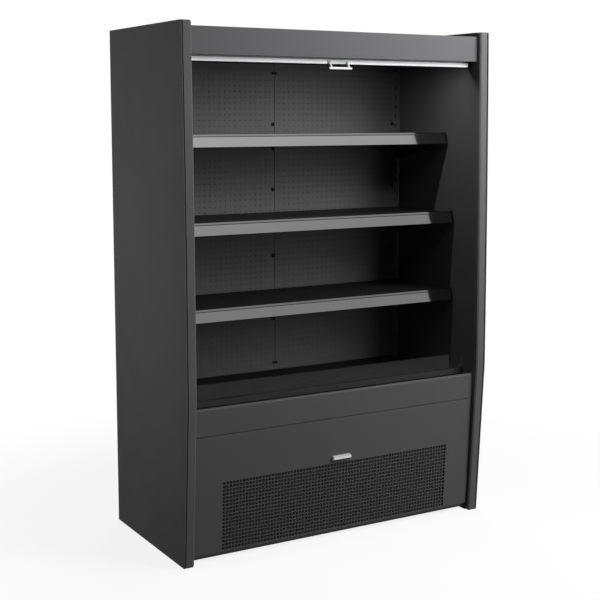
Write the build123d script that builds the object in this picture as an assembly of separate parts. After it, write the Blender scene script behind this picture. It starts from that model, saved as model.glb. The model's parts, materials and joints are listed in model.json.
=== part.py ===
"""Open multideck display fridge, 1330 x 670 x 1950 mm, as separate pieces, one STEP file each.

Frame: +X to the right as seen from the front, +Y to the back, +Z up, in millimetres. The origin
is on the floor at the middle of the footprint. Heights are measured from the floor, and depths,
written FRONT + n, from the foremost plane of the end panels.
"""

import os

from build123d import *

# Whole cabinet
WIDTH = 1330.0
DEPTH = 670.0
HEIGHT = 1950.0
END_THICKNESS = 40.0
INNER = WIDTH / 2 - END_THICKNESS
FRONT = -DEPTH / 2
BACK = DEPTH / 2
SHEET = 1.5
NEAR = 0.1
THROUGH = 40.0

# End panels: straight and leaning below the bend, then one gentle bow up to the top
TOE_SETBACK = 39.0
BEND_HEIGHT = 620.0
TOP_SETBACK = 14.0
BEND_RADIUS = 900.0
CORNER_RADIUS = 6.0
SKIN = 3.0
TRIM_DEPTH = 20.0
TRIM_GROOVE = 4.0
TRIM_BEVEL = 5.0
LONG_EDGE = 300.0

# Base frame and feet
FRAME_UNDERSIDE = 24.0
FRAME_TOP = 62.0
FRAME_MEMBER = 44.0
FRAME_FRONT = FRONT + 76
FRAME_BACK = BACK - 12
BAY_FLOOR = FRAME_TOP + SHEET
FOOT_RADIUS = 22.0
PAD_HEIGHT = 8.0
CONE_BASE = 20.0
CONE_TOP = 10.0
CONE_HEIGHT = 6.0
NUT_RADIUS = 11.0
STEM_RADIUS = 6.0
STEM_LENGTH = 42.0
STEM_CLEARANCE = 0.05
HOLE_ROOF = 2.0
FOOT_X = INNER - FRAME_MEMBER / 2
FOOT_FRONT_Y = FRAME_FRONT + 52
FOOT_BACK_Y = FRAME_BACK - FRAME_MEMBER / 2

# Insulated body
TUB_UNDERSIDE = 330.0
TUB_FLOOR = 370.0
TUB_FRONT = FRONT + 70
TUB_WALL = 30.0
TUB_RIM = 560.0
WALL_FOOT = 420.0
WALL_FACE = FRONT + 612
WALL_OUTER = BACK - 2
ROOF_UNDERSIDE = 1886.5
ROOF_TOP = 1933.0
ROOF_FRONT = FRONT + 60
DRAIN_RADIUS = 12.0
DRAIN_X = 70.0
DRAIN_Y = FRONT + 160
DRAIN_WALL = 3.0
DRAIN_LENGTH = 40.0
DRAIN_BORE = 200.0
ROOF_EDGE = 6.0

# Rear service panel: vents and the supply gland's hole
REAR_FACE = WALL_OUTER - 4
REAR_FOLD = 18.0
REAR_GAP = 2.0
VENT_PITCH = (150.0, 22.0)
VENT_COUNT = (6, 7)
VENT = (120.0, 8.0)
VENT_MIDDLE = 205.0
GLAND_X = 450.0
GLAND_Z = 120.0
GLAND_HOLE = 12.2

# Back of the display space
DUCT_FACE = FRONT + 560
DUCT_BOTTOM = 541.0
DUCT_TOP = 1842.0
DUCT_LIP = 24.0
SEAM = 1.0
UPRIGHT_WIDTH = 32.0
SLOT_PITCH = 40.0
SLOT_WIDTH = 5.0
SLOT_HEIGHT = 14.0
SLOT_X = 601.5
SLOT_PLAY = 2.0
SLOTS_BELOW = 7
UPRIGHT_ENDS = 60.0
HOLE = 8.0
HOLE_PITCH_X = 69.0
HOLE_COLUMNS = 8
HOLE_ROWS = (1758, 1712, 1666, 1620, 1440, 1380, 1120, 1060, 800, 740)

# Canopy
FASCIA_FACE = FRONT + 35
FASCIA_BOTTOM = 1836.0
FASCIA_TOP = ROOF_TOP
FASCIA_FOLD = FASCIA_FACE + 40
FASCIA_RETURN = FASCIA_FACE + 27
FASCIA_NOSE = 1.2
LIGHT_WALL = FRONT + 91
LIGHT_SHIELD = 1811.0
LIGHT_FLANGE = 1845.0
HOUSING_SHEET = 2.0
LIGHT_LIP = 18.0
DIFFUSER_MIDDLE = LIGHT_WALL + 16
DIFFUSER_RADIUS = 8.0
HONEYCOMB_FRONT = FRONT + 128
HONEYCOMB_BACK = FRONT + 188
HONEYCOMB_HALF = 600.0
HONEYCOMB_DEPTH = 20.0
RETURN_DEPTH = 9.0
CELLS = 24
CELL_WEB = 6.0
CELL_RIM = 4.0
CEILING_LAP = 2.0

# Night blind
BAR_FRONT = FRONT + 72
BAR_DEPTH = 12.0
BAR_BOTTOM = 1815.0
BAR_TOP = 1832.0
BAR_HALF = 610.0
BAR_ROUND = 2.5
BAR_GROOVE = 3.0
BAR_GROOVE_LOW = BAR_BOTTOM + 5
BAR_GROOVE_HIGH = BAR_BOTTOM + 9
BAR_CAP = 11.0
BAR_CAP_BEVEL = 1.2
ROLL_RADIUS = 18.0
TUBE_RADIUS = 12.5
ROLL_Y = FRONT + 60
ROLL_Z = 1863.0
ROLL_HALF = 600.0
TUBE_HALF = 610.0
PIN_RADIUS = 4.0
PIN_CLEARANCE = 0.05
HANGER_INNER = 616.0
HANGER_OUTER = 619.0
HANGER_FRONT = ROLL_Y - 18
HANGER_BACK = ROLL_Y + 26
HANGER_FOOT = ROLL_Z - 22
HANGER_ROUND = 10.0
CLOTH = 0.8
CLOTH_GAP = 0.3
CLOTH_Y = ROLL_Y + ROLL_RADIUS + CLOTH_GAP
GRIP_RADIUS = 5.0
GRIP_HALF = 50.0
GRIP_BEVEL = 1.5
GRIP_Y = FRONT + 55
GRIP_Z = 1799.0
PULL_PLATE_HALF = 46.0
PULL_PLATE = 3.0
PULL_PLATE_LOW = BAR_BOTTOM + 1
PULL_PLATE_HIGH = BAR_TOP - 2
PULL_PLATE_ROUND = 3.0
ARM_X = 38.5
ARM_HALF = 3.5
ARM_LOW = BAR_BOTTOM + 2
ARM_KNEE = (BAR_FRONT - 7, BAR_BOTTOM + 8)
ARM_HIGH = BAR_BOTTOM + 10
ARM_END = 3.0

# Shelves: height of the top surface and depth of the rail's lower front edge
SHELF_TOPS = (1551.0, 1231.0, 911.0)
SHELF_FRONTS = (FRONT + 213, FRONT + 163, FRONT + 163)
SHELF_HALF = 612.0
SHELF_BACK = FRONT + 553
RAIL_LEAN = 11.0
RAIL_HEIGHT = 46.0
RAIL_ABOVE = 5.0
RAIL_BAND = 8.8
RAIL_GROOVE_LOW = 36.5
RAIL_GROOVE_HIGH = 39.0
RAIL_GROOVE_SHARE = 0.8
RAIL_GROOVE_FOOT = 2.5
RAIL_GROOVE_ROOT = 3.0
RAIL_NOSE = 7.0
RAIL_WALL = 3.0
RAIL_FOOT_RISE = 4.0
RAIL_FOOT = 6.0
CAP_GROWTH = 1.5
CAP_WIDTH = 8.0
PLATE_FRONT_FOLD = 32.0
PLATE_BACK_FOLD = 12.0
BRACKET = 3.0
BRACKET_PLAY = 0.5
BRACKET_BACK = DUCT_FACE - 1.5
BRACKET_FLAT = 60.0
BRACKET_STEP = 4.0
BRACKET_DEEP = 104.0
BRACKET_SHALLOW = 24.0
BRACKET_SLOT = (130.0, 26.0)
BRACKET_SLOT_Y = 90.0
BRACKET_SLOT_DROP = 44.0
TAB_DROP = 14.0
TAB_HEIGHT = 8.0
TAB_REACH = 6.0
TAB_BEVEL = 2.0
TAB_ROOT = 1.0

# Deck, ledge, riser
DECK_TOP = 570.0
DECK_FRONT = FRONT + 114
DECK_BACK = FRONT + 552
DECK_GAP = 3.0
FINGER_HOLE = 11.0
FINGER_HOLE_Y = DECK_FRONT + 40
LEDGE_TOP = 575.0
LEDGE_FRONT = FRONT + 49
LEDGE_FOLD = 12.0
LEDGE_STEP = DECK_FRONT - 6
LEDGE_HEEL = DECK_FRONT + 12
LEDGE_FOOT_GAP = 4.0
RISER_FACE = FRONT + 95
RISER = 4.0
RISER_TOP = 656.0
RISER_HALF = 618.0
RISER_ROUND = 8.0
CHANNEL_TOP = 595.0
CHANNEL_WALL = 4.0
CHANNEL_PLAY = 0.1
CHANNEL_HALF = 620.0
RETURN_FRONT = FRONT + 53
RETURN_BACK = FRONT + 87
RETURN_HALF = 616.0

# Lower front
BUMPER_TOP = 581.0
BUMPER_FACE = FRONT + 26
BUMPER_FOOT = FRONT + 31
BUMPER_BOTTOM = 481.0
BUMPER_SHEET = 2.0
BUMPER_NOSE = 5.0
PANEL_TOP = 478.0
PANEL_TOP_Y = FRONT + 31.2
PANEL_BEND = 31.0
PANEL_BEND_Y = FRONT + 56.0
PANEL_TOE = 12.0
PANEL_TOE_Y = FRONT + 75
PANEL_HALF = 623.0
PANEL_NOSE = 1.2
FIELD_HALF = 507.0
FIELD_BOTTOM = 37.0
FIELD_TOP = 300.0
MESH_PITCH = 13.5
MESH_BAR = 4.2
PULL_WIDTH = 78.0
PULL_Z = 321.5
PULL_HALF = 8.5
PULL_WALL = 3.0
PULL_BEVEL = 1.0
PULL_CURL = ((14.0, 4.5), (16.0, -3.5), (13.5, -3.5), (11.0, 0.5))
PULL_INSIDE = -2.5

# Machinery
CONDENSER_X = -270.0
CONDENSER_HALF = 210.0
CONDENSER_FRONT = FRONT + 110
CONDENSER_DEPTH = 50.0
CONDENSER_TOP = 305.0
CONDENSER_FINS = 24
CONDENSER_BENDS = 4
EVAPORATOR_HALF = 520.0
EVAPORATOR_FRONT = FRONT + 340
EVAPORATOR_BACK = FRONT + 470
EVAPORATOR_HEIGHT = 140.0
EVAPORATOR_FINS = 30
EVAPORATOR_BENDS = 3
FIN_GAP = 0.6
FIN_DEPTH = 0.7
COIL_FRAME = 6.0
COIL_TUBE = 8.0
SHROUD_DEPTH = 28.0
SHROUD_SHEET = 2.0
THROAT_WALL = 3.0
THROAT_FRONT = 2.0
THROAT_BACK = 34.0
FAN_Z = 186.0
FAN_RADIUS = 100.0
EVAPORATOR_FAN_X = 300.0
EVAPORATOR_FAN_Z = 465.0
EVAPORATOR_FAN_RADIUS = 72.0
FAN_PLATE_Y = FRONT + 250
FAN_PLATE = 2.0
FAN_PLATE_TOP = DUCT_BOTTOM - 1
FAN_SHAFT = 4.0
FAN_CLEARANCE = 0.05
FAN_GAP = 5.0
FAN_BLADES = 5
BLADE_PITCH = 22.0
BLADE_SHEET = 1.6
BLADE_ROOT = 4.0
BLADE_CHORD = 0.7
BLADE_ARCH = 0.14
BORE_SHARE = 0.6
MOTOR_RADIUS = 20.0
MOTOR_FRONT = -6.0
MOTOR_LENGTH = 36.0
MOTOR_BEVEL = 5.0
ARM_ROOT = 12.0
ARM_LAP = 4.0
ARM_WIDTH = 8.0
ARM_BACK = -10.0
SHAFT_LENGTH = 18.0
SHAFT_BACK = -7.0
EVAPORATOR_HUB = 22.0
EVAPORATOR_ROTOR = 26.0
EVAPORATOR_ROTOR_Y = FAN_PLATE_Y + 10
EVAPORATOR_MOTOR_Z = 8.0
CONDENSER_HUB = 26.0
CONDENSER_ROTOR = 28.0
CONDENSER_ROTOR_Z = -22.0
CONDENSER_MOTOR_Z = -24.0

# Compressor, drip tray and control box
COMPRESSOR_X = 250.0
COMPRESSOR_Y = FRONT + 330
POT_SIDE = ((0, 0), (78, 0), (78, 92), (66, 116), (42, 132), (0, 138))
POT_LIFT = 30.0
POT_SEAM_Z = 70.0
POT_SEAM_RADIUS = 82.0
POT_SEAM = 8.0
POT_FOOT = (210.0, 130.0)
POT_FOOT_ROUND = 20.0
POT_FOOT_SHEET = 6.0
POT_PADS = (170.0, 90.0)
POT_PAD_RADIUS = 14.0
POT_PAD_HEIGHT = 24.0
STUBS = (((60, 0, 120), 60, 6, 70), ((-60, 20, 110), -60, 4, 80))
TRAY_HALF = 65.0
TRAY_HEIGHT = 50.0
TRAY_ROUND = 12.0
TRAY_WALL = 2.0
BOX_LEFT = 380.0
BOX_RIGHT = 520.0
BOX_FRONT = REAR_FACE - 90
BOX_BACK = REAR_FACE - 20
BOX_HEIGHT = 170.0
BOX_BEVEL = 6.0
GLAND_NECK = 8.0
GLAND_NECK_LENGTH = 30.0
GLAND_NECK_Y = REAR_FACE - 12
GLAND_NUT = 12.0
GLAND_NUT_LENGTH = 8.0
GLAND_NUT_Y = REAR_FACE - 4


def block(x0, x1, y0, y1, z0, z1):
    """A block between two corners."""
    middle = Pos((x0 + x1) / 2, (y0 + y1) / 2, (z0 + z1) / 2)
    return middle * Box(x1 - x0, y1 - y0, z1 - z0)


def along_x(face, x0, x1):
    """A face drawn as (depth, height), carried along X."""
    return Pos(x0, 0, 0) * extrude(Plane.YZ * face, amount=x1 - x0)


def folded(points, x0, x1, thickness=SHEET, side=Side.RIGHT):
    """Folded sheet: its outer line drawn as (depth, height), thickened to one side."""
    outer = Polyline(*points)
    face = make_face(offset(outer, amount=thickness, side=side, kind=Kind.INTERSECTION))
    return along_x(face, x0, x1)


def polygon(*points):
    """A face with straight sides."""
    return make_face(Polyline(*points, close=True))


def repeated(locations, face):
    """One flat sketch holding a face at each location."""
    return Sketch() + [location * face for location in locations]


def both_sides(piece):
    """A piece and its mirror image across the middle of the cabinet."""
    return Compound(children=[piece, mirror(piece, about=Plane.YZ)])


def end_outline(setback):
    """The side view of an end panel, with its front edge moved back by a setback."""
    toe = (FRONT + TOE_SETBACK + setback, 0)
    bend = (FRONT + setback, BEND_HEIGHT)
    crown = (FRONT + TOP_SETBACK + setback, HEIGHT)
    bow = (FRONT + setback + TOP_SETBACK / 4, (BEND_HEIGHT + HEIGHT) / 2)
    front = [Line(toe, bend), ThreePointArc(bend, bow, crown)]
    rest = Polyline(crown, (BACK, HEIGHT), (BACK, 0), toe)
    face = make_face([*front, *rest.edges()])
    corner = face.vertices().sort_by_distance(Vector(*bend))[0]
    face = fillet(corner, BEND_RADIUS)
    ends = [face.vertices().sort_by_distance(Vector(*point))[0] for point in (toe, crown)]
    return fillet(ends, CORNER_RADIUS)


def end_panel(side):
    """A foamed end panel whose outer skin stands past a rebate for the edge trim."""
    outer = side * WIDTH / 2
    whole = along_x(end_outline(0), min(outer, side * INNER), max(outer, side * INNER))
    trim_room = along_x(end_outline(0) - end_outline(TRIM_DEPTH), 0, END_THICKNESS - SKIN)
    start = INNER if side > 0 else -INNER - END_THICKNESS + SKIN
    return whole - Pos(start, 0, 0) * trim_room


def edge_trim(side):
    """The front edge profile: a bevel on the display side and a shadow groove by the skin."""
    width = END_THICKNESS - SKIN - TRIM_GROOVE
    trim = along_x(end_outline(1) - end_outline(TRIM_DEPTH), INNER, INNER + width)
    inner_edges = trim.edges().filter_by(lambda edge: abs(edge.center().X - INNER) < NEAR)
    front_edges = inner_edges.filter_by(lambda edge: edge.length > LONG_EDGE)
    foremost = front_edges.filter_by(lambda edge: edge.center().Y < FRONT + TRIM_DEPTH)
    trim = chamfer(foremost, TRIM_BEVEL)
    return trim if side > 0 else mirror(trim, about=Plane.YZ)


def base_frame():
    """A welded frame of four members with a floor sheet, and a blind hole for each foot."""
    ring = block(-INNER, INNER, FRAME_FRONT, FRAME_BACK, FRAME_UNDERSIDE, FRAME_TOP)
    ring -= block(
        -INNER + FRAME_MEMBER,
        INNER - FRAME_MEMBER,
        FRAME_FRONT + FRAME_MEMBER,
        FRAME_BACK - FRAME_MEMBER,
        FRAME_UNDERSIDE,
        FRAME_TOP,
    )
    frame = ring + block(-INNER, INNER, FRAME_FRONT, FRAME_BACK, FRAME_TOP, BAY_FLOOR)
    depth = FRAME_TOP - FRAME_UNDERSIDE - HOLE_ROOF
    for x in (-FOOT_X, FOOT_X):
        for y in (FOOT_FRONT_Y, FOOT_BACK_Y):
            hole = Cylinder(STEM_RADIUS + STEM_CLEARANCE, depth)
            frame -= Pos(x, y, FRAME_UNDERSIDE + depth / 2) * hole
    return frame


def levelling_foot(x, y):
    """A turned foot: a pad, a cone, a hexagonal nut and a stem that goes up into the frame."""
    standing = (Align.CENTER, Align.CENTER, Align.MIN)
    seat = PAD_HEIGHT + CONE_HEIGHT
    foot = Cylinder(FOOT_RADIUS, PAD_HEIGHT, align=standing)
    foot += Pos(0, 0, PAD_HEIGHT) * Cone(CONE_BASE, CONE_TOP, CONE_HEIGHT, align=standing)
    foot += Pos(0, 0, seat) * extrude(RegularPolygon(NUT_RADIUS, 6), amount=FRAME_UNDERSIDE - seat)
    foot += Pos(0, 0, seat) * Cylinder(STEM_RADIUS, STEM_LENGTH, align=standing)
    return Pos(x, y, 0) * foot


def insulated_tub():
    """The foamed well under the deck, with a front wall, a step for the back wall and a drain."""
    face = polygon(
        (TUB_FRONT, TUB_UNDERSIDE),
        (WALL_OUTER, TUB_UNDERSIDE),
        (WALL_OUTER, WALL_FOOT),
        (WALL_FACE, WALL_FOOT),
        (WALL_FACE, TUB_FLOOR),
        (TUB_FRONT + TUB_WALL, TUB_FLOOR),
        (TUB_FRONT + TUB_WALL, TUB_RIM),
        (TUB_FRONT, TUB_RIM),
    )
    tub = along_x(face, -INNER, INNER)
    spout = Cylinder(DRAIN_RADIUS + DRAIN_WALL, DRAIN_LENGTH)
    tub += Pos(DRAIN_X, DRAIN_Y, TUB_UNDERSIDE - DRAIN_LENGTH / 2) * spout
    return tub - Pos(DRAIN_X, DRAIN_Y, TUB_UNDERSIDE) * Cylinder(DRAIN_RADIUS, DRAIN_BORE)


def insulated_back_wall():
    """The foamed back wall, standing on the tub."""
    return block(-INNER, INNER, WALL_FACE, WALL_OUTER, WALL_FOOT, ROOF_UNDERSIDE)


def insulated_roof():
    """The foamed roof, lying on the back wall, with a rebate for the fascia's upper fold."""
    roof = block(-INNER, INNER, ROOF_FRONT, WALL_OUTER, ROOF_UNDERSIDE, ROOF_TOP)
    roof -= block(-INNER, INNER, ROOF_FRONT, FASCIA_FOLD, ROOF_TOP - SHEET, ROOF_TOP)
    rear_edge = roof.edges().filter_by(Axis.X).sort_by(Axis.Y)[-2:].sort_by(Axis.Z)[-1]
    return fillet(rear_edge, ROOF_EDGE)


def rear_service_panel():
    """The vented sheet behind the machine bay, folded in at top and bottom."""
    points = [
        (REAR_FACE - REAR_FOLD, TUB_UNDERSIDE),
        (REAR_FACE, TUB_UNDERSIDE),
        (REAR_FACE, BAY_FLOOR),
        (REAR_FACE - REAR_FOLD, BAY_FLOOR),
    ]
    panel = folded(points, -INNER + REAR_GAP, INNER - REAR_GAP)
    slots = repeated(GridLocations(*VENT_PITCH, *VENT_COUNT), Rectangle(*VENT))
    vents = extrude(Plane.XZ * slots, amount=THROUGH, both=True)
    gland_hole = Rot(90, 0, 0) * Cylinder(GLAND_HOLE, THROUGH)
    return panel - Pos(0, REAR_FACE, VENT_MIDDLE) * vents - Pos(GLAND_X, REAR_FACE, GLAND_Z) * gland_hole


def duct_panel(side):
    """A back panel of the display space: punched air holes and a folded lip under the deck."""
    points = [
        (DUCT_FACE, DUCT_TOP),
        (DUCT_FACE, DUCT_BOTTOM),
        (DUCT_FACE - DUCT_LIP, DUCT_BOTTOM),
    ]
    panel = folded(points, SEAM, INNER - SEAM - UPRIGHT_WIDTH, side=Side.LEFT)
    first = (INNER - UPRIGHT_WIDTH) / 2
    for height in HOLE_ROWS:
        row = repeated(GridLocations(HOLE_PITCH_X, 1, HOLE_COLUMNS, 1), Rectangle(HOLE, HOLE))
        holes = extrude(Plane.XZ * row, amount=THROUGH, both=True)
        panel -= Pos(first, DUCT_FACE, height) * holes
    return panel if side > 0 else mirror(panel, about=Plane.YZ)


def upright(side):
    """A slotted upright: a folded channel that stands off the back wall."""
    inner = INNER - SEAM - UPRIGHT_WIDTH
    outer = INNER - SEAM
    outline = Polyline(
        (inner, WALL_FACE), (inner, DUCT_FACE), (outer, DUCT_FACE), (outer, WALL_FACE)
    )
    face = make_face(offset(outline, amount=SHEET, side=Side.LEFT, kind=Kind.INTERSECTION))
    channel = Pos(0, 0, DUCT_BOTTOM) * extrude(face, amount=DUCT_TOP - DUCT_BOTTOM)
    count = int((DUCT_TOP - DUCT_BOTTOM - UPRIGHT_ENDS) / SLOT_PITCH)
    lowest = SHELF_TOPS[2] - TAB_DROP - SLOTS_BELOW * SLOT_PITCH - SLOT_PLAY
    slot = block(0, SLOT_WIDTH, -SLOT_WIDTH, SLOT_WIDTH, 0, SLOT_HEIGHT)
    for n in range(count):
        channel -= Pos(SLOT_X - SLOT_WIDTH / 2, DUCT_FACE, lowest + n * SLOT_PITCH) * slot
    return channel if side > 0 else mirror(channel, about=Plane.YZ)


def ceiling_panel():
    """The display space's ceiling, with a lip that holds the back of the air outlet."""
    points = [
        (HONEYCOMB_BACK, DUCT_TOP + HONEYCOMB_DEPTH),
        (HONEYCOMB_BACK, DUCT_TOP),
        (DUCT_FACE + CEILING_LAP, DUCT_TOP),
    ]
    return folded(points, -INNER + SEAM, INNER - SEAM, side=Side.LEFT)


def canopy_fascia():
    """The front of the canopy, folded back over the roof and under the blind."""
    points = [
        (FASCIA_FOLD, FASCIA_TOP),
        (FASCIA_FACE, FASCIA_TOP),
        (FASCIA_FACE, FASCIA_BOTTOM),
        (FASCIA_RETURN, FASCIA_BOTTOM),
    ]
    fascia = folded(points, -INNER, INNER, side=Side.LEFT)
    nose = fascia.edges().filter_by(Axis.X).sort_by(Axis.Y)[:2]
    return fillet(nose, FASCIA_NOSE)


def cell_plate(half, y0, y1, z0, z1):
    """A plate of upright air cells."""
    plate = block(-half, half, y0, y1, z0, z1)
    pitch = 2 * half / CELLS
    cell = Rectangle(pitch - CELL_WEB, y1 - y0 - 2 * CELL_RIM)
    cells = repeated(GridLocations(pitch, 1, CELLS, 1), cell)
    through = extrude(cells, amount=z1 - z0)
    return plate - Pos(0, (y0 + y1) / 2, z0) * through


def light_housing():
    """The wall behind the blind, with a glare shield and a flange for the lamp."""
    wall_back = LIGHT_WALL + HOUSING_SHEET
    lip_front = HONEYCOMB_FRONT - HOUSING_SHEET
    flange_top = LIGHT_FLANGE + HOUSING_SHEET
    lip_top = LIGHT_FLANGE + LIGHT_LIP
    housing = block(-INNER, INNER, LIGHT_WALL, wall_back, LIGHT_SHIELD, ROOF_UNDERSIDE)
    housing += block(-INNER, INNER, LIGHT_WALL, HONEYCOMB_FRONT, LIGHT_FLANGE, flange_top)
    return housing + block(-INNER, INNER, lip_front, HONEYCOMB_FRONT, LIGHT_FLANGE, lip_top)


def light_diffuser():
    """The lamp's half-round cover, under the flange."""
    front = DIFFUSER_MIDDLE - DIFFUSER_RADIUS
    back = DIFFUSER_MIDDLE + DIFFUSER_RADIUS
    spring = LIGHT_FLANGE - DIFFUSER_RADIUS
    dome = ThreePointArc(
        (front, spring), (DIFFUSER_MIDDLE, spring - DIFFUSER_RADIUS), (back, spring)
    )
    sides = Polyline(
        (back, spring), (back, LIGHT_FLANGE), (front, LIGHT_FLANGE), (front, spring)
    )
    return along_x(make_face([dome, *sides.edges()]), -HONEYCOMB_HALF, HONEYCOMB_HALF)


def blind_brackets():
    """A hung plate at each end of the roller, bored for its pin."""
    plate = block(
        HANGER_INNER, HANGER_OUTER, HANGER_FRONT, HANGER_BACK, HANGER_FOOT, ROOF_UNDERSIDE
    )
    low_edges = plate.edges().filter_by(Axis.X).sort_by(Axis.Z)[:2]
    plate = fillet(low_edges, HANGER_ROUND)
    bore = Rot(0, 90, 0) * Cylinder(PIN_RADIUS + PIN_CLEARANCE, THROUGH)
    return both_sides(plate - Pos(HANGER_INNER, ROLL_Y, ROLL_Z) * bore)


def blind_roller_tube():
    """The spring tube with a pin at each end."""
    tube = Rot(0, 90, 0) * Cylinder(TUBE_RADIUS, 2 * TUBE_HALF)
    pin = Rot(0, 90, 0) * Cylinder(PIN_RADIUS, 2 * HANGER_OUTER)
    return Pos(0, ROLL_Y, ROLL_Z) * (tube + pin)


def blind_roll():
    """The wound cloth, a sleeve round the tube."""
    sleeve = Cylinder(ROLL_RADIUS, 2 * ROLL_HALF) - Cylinder(TUBE_RADIUS, 2 * ROLL_HALF)
    return Pos(0, ROLL_Y, ROLL_Z) * Rot(0, 90, 0) * sleeve


def blind_cloth():
    """The free strip of cloth between the roll and the bar."""
    return block(-ROLL_HALF, ROLL_HALF, CLOTH_Y, CLOTH_Y + CLOTH, BAR_TOP, ROLL_Z)


def bar_outline():
    """The bar's section: a rounded front and a lip groove along its lower back."""
    middle_y = BAR_FRONT + BAR_DEPTH / 2
    middle_z = (BAR_BOTTOM + BAR_TOP) / 2
    section = Pos(middle_y, middle_z) * Rectangle(BAR_DEPTH, BAR_TOP - BAR_BOTTOM)
    return fillet(section.vertices(), BAR_ROUND)


def blind_bar():
    """The blind's aluminium bottom bar."""
    back = BAR_FRONT + BAR_DEPTH
    groove = polygon(
        (back, BAR_GROOVE_LOW),
        (back - BAR_GROOVE, BAR_GROOVE_LOW),
        (back - BAR_GROOVE, BAR_GROOVE_HIGH),
        (back, BAR_GROOVE_HIGH),
    )
    return along_x(bar_outline() - groove, -BAR_HALF, BAR_HALF)


def blind_bar_end_caps():
    """A moulded cap on each end of the bar."""
    cap = along_x(bar_outline(), BAR_HALF, BAR_HALF + BAR_CAP)
    outer_edges = cap.edges().filter_by(lambda e: abs(e.center().X - BAR_HALF - BAR_CAP) < NEAR)
    return both_sides(chamfer(outer_edges, BAR_CAP_BEVEL))


def blind_handle():
    """The pull: a plate on the bar, two arms that reach down and forward, and a round grip."""
    plate = block(
        -PULL_PLATE_HALF,
        PULL_PLATE_HALF,
        BAR_FRONT - PULL_PLATE,
        BAR_FRONT,
        PULL_PLATE_LOW,
        PULL_PLATE_HIGH,
    )
    handle = fillet(plate.edges().filter_by(Axis.Y), PULL_PLATE_ROUND)
    arm_face = polygon(
        (BAR_FRONT, ARM_LOW),
        (BAR_FRONT, ARM_HIGH),
        ARM_KNEE,
        (GRIP_Y - ARM_END, GRIP_Z + ARM_END),
        (GRIP_Y + ARM_END, GRIP_Z - ARM_END),
    )
    for x in (-ARM_X, ARM_X):
        handle += along_x(arm_face, x - ARM_HALF, x + ARM_HALF)
    grip = Rot(0, 90, 0) * Cylinder(GRIP_RADIUS, 2 * GRIP_HALF)
    grip = chamfer(grip.edges(), GRIP_BEVEL)
    return handle + Pos(0, GRIP_Y, GRIP_Z) * grip


def rail_outline(front, top, grow=0.0):
    """The ticket rail's section: a leaning band, a fine groove and a nose along the top."""
    foot = top + RAIL_ABOVE - RAIL_HEIGHT
    band = front + RAIL_BAND
    crest = front + RAIL_LEAN
    back = crest + RAIL_WALL
    return polygon(
        (front - grow, foot - grow),
        (band - grow, foot + RAIL_GROOVE_LOW),
        (band + RAIL_GROOVE_FOOT, foot + RAIL_GROOVE_LOW),
        (band + RAIL_GROOVE_ROOT, foot + RAIL_GROOVE_HIGH),
        (band + RAIL_GROOVE_SHARE - grow, foot + RAIL_GROOVE_HIGH),
        (crest - grow, foot + RAIL_HEIGHT + grow),
        (crest + RAIL_NOSE, foot + RAIL_HEIGHT + grow),
        (crest + RAIL_NOSE, top),
        (back, top),
        (back, foot + RAIL_FOOT_RISE),
        (front + RAIL_FOOT, foot - grow),
    )


def shelf_plate(n):
    """A steel shelf, folded down along its front and back."""
    top = SHELF_TOPS[n]
    front = SHELF_FRONTS[n] + RAIL_LEAN + RAIL_WALL
    foot = top - PLATE_BACK_FOLD
    points = [
        (front, top - PLATE_FRONT_FOLD),
        (front, top),
        (SHELF_BACK, top),
        (SHELF_BACK, foot),
    ]
    plate = folded(points, -SHELF_HALF, SHELF_HALF)
    half = BRACKET / 2 + BRACKET_PLAY
    for x in (-SLOT_X, SLOT_X):
        plate -= block(x - half, x + half, SHELF_BACK - 2 * SHEET, BRACKET_BACK, foot, top - SHEET)
    return plate


def shelf_brackets(n):
    """The two tapered arms under a shelf, each with two tabs in the upright's slots."""
    top = SHELF_TOPS[n] - SHEET
    front = SHELF_FRONTS[n] + RAIL_LEAN + RAIL_WALL + SHEET
    outline = polygon(
        (front, top),
        (front, top - BRACKET_SHALLOW),
        (BRACKET_BACK - BRACKET_FLAT, top - BRACKET_DEEP),
        (BRACKET_BACK, top - BRACKET_DEEP),
        (BRACKET_BACK, top - BRACKET_STEP),
        (SHELF_BACK - SHEET, top - BRACKET_STEP),
        (SHELF_BACK - SHEET, top),
    )
    seat = SHELF_TOPS[n] - TAB_DROP
    tip = DUCT_FACE + TAB_REACH
    for height in (seat, seat - 2 * SLOT_PITCH + SLOT_PLAY):
        outline += polygon(
            (BRACKET_BACK - TAB_ROOT, height),
            (tip, height),
            (tip, height + TAB_HEIGHT - TAB_BEVEL),
            (tip - TAB_BEVEL, height + TAB_HEIGHT),
            (BRACKET_BACK - TAB_ROOT, height + TAB_HEIGHT),
        )
    middle = (front + BRACKET_BACK) / 2 + BRACKET_SLOT_Y
    outline -= Pos(middle, top - BRACKET_SLOT_DROP) * SlotOverall(*BRACKET_SLOT)
    return both_sides(along_x(outline, SLOT_X - BRACKET / 2, SLOT_X + BRACKET / 2))


def shelf_ticket_rail(n):
    """The leaning rail along a shelf's front edge."""
    return along_x(rail_outline(SHELF_FRONTS[n], SHELF_TOPS[n]), -SHELF_HALF, SHELF_HALF)


def shelf_rail_caps(n):
    """A moulded cap on each end of the ticket rail."""
    outline = rail_outline(SHELF_FRONTS[n], SHELF_TOPS[n], grow=CAP_GROWTH)
    return both_sides(along_x(outline, SHELF_HALF, SHELF_HALF + CAP_WIDTH))


def deck_tray(side):
    """Half of the deck: a tray folded down on its long sides."""
    depth = DECK_TOP - DUCT_BOTTOM - SHEET
    points = [
        (DECK_FRONT, DECK_TOP - depth),
        (DECK_FRONT, DECK_TOP),
        (DECK_BACK, DECK_TOP),
        (DECK_BACK, DECK_TOP - depth),
    ]
    tray = folded(points, SEAM, INNER - DECK_GAP)
    tray -= Pos(INNER / 2, FINGER_HOLE_Y, DECK_TOP) * Cylinder(FINGER_HOLE, THROUGH)
    return tray if side > 0 else mirror(tray, about=Plane.YZ)


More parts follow.
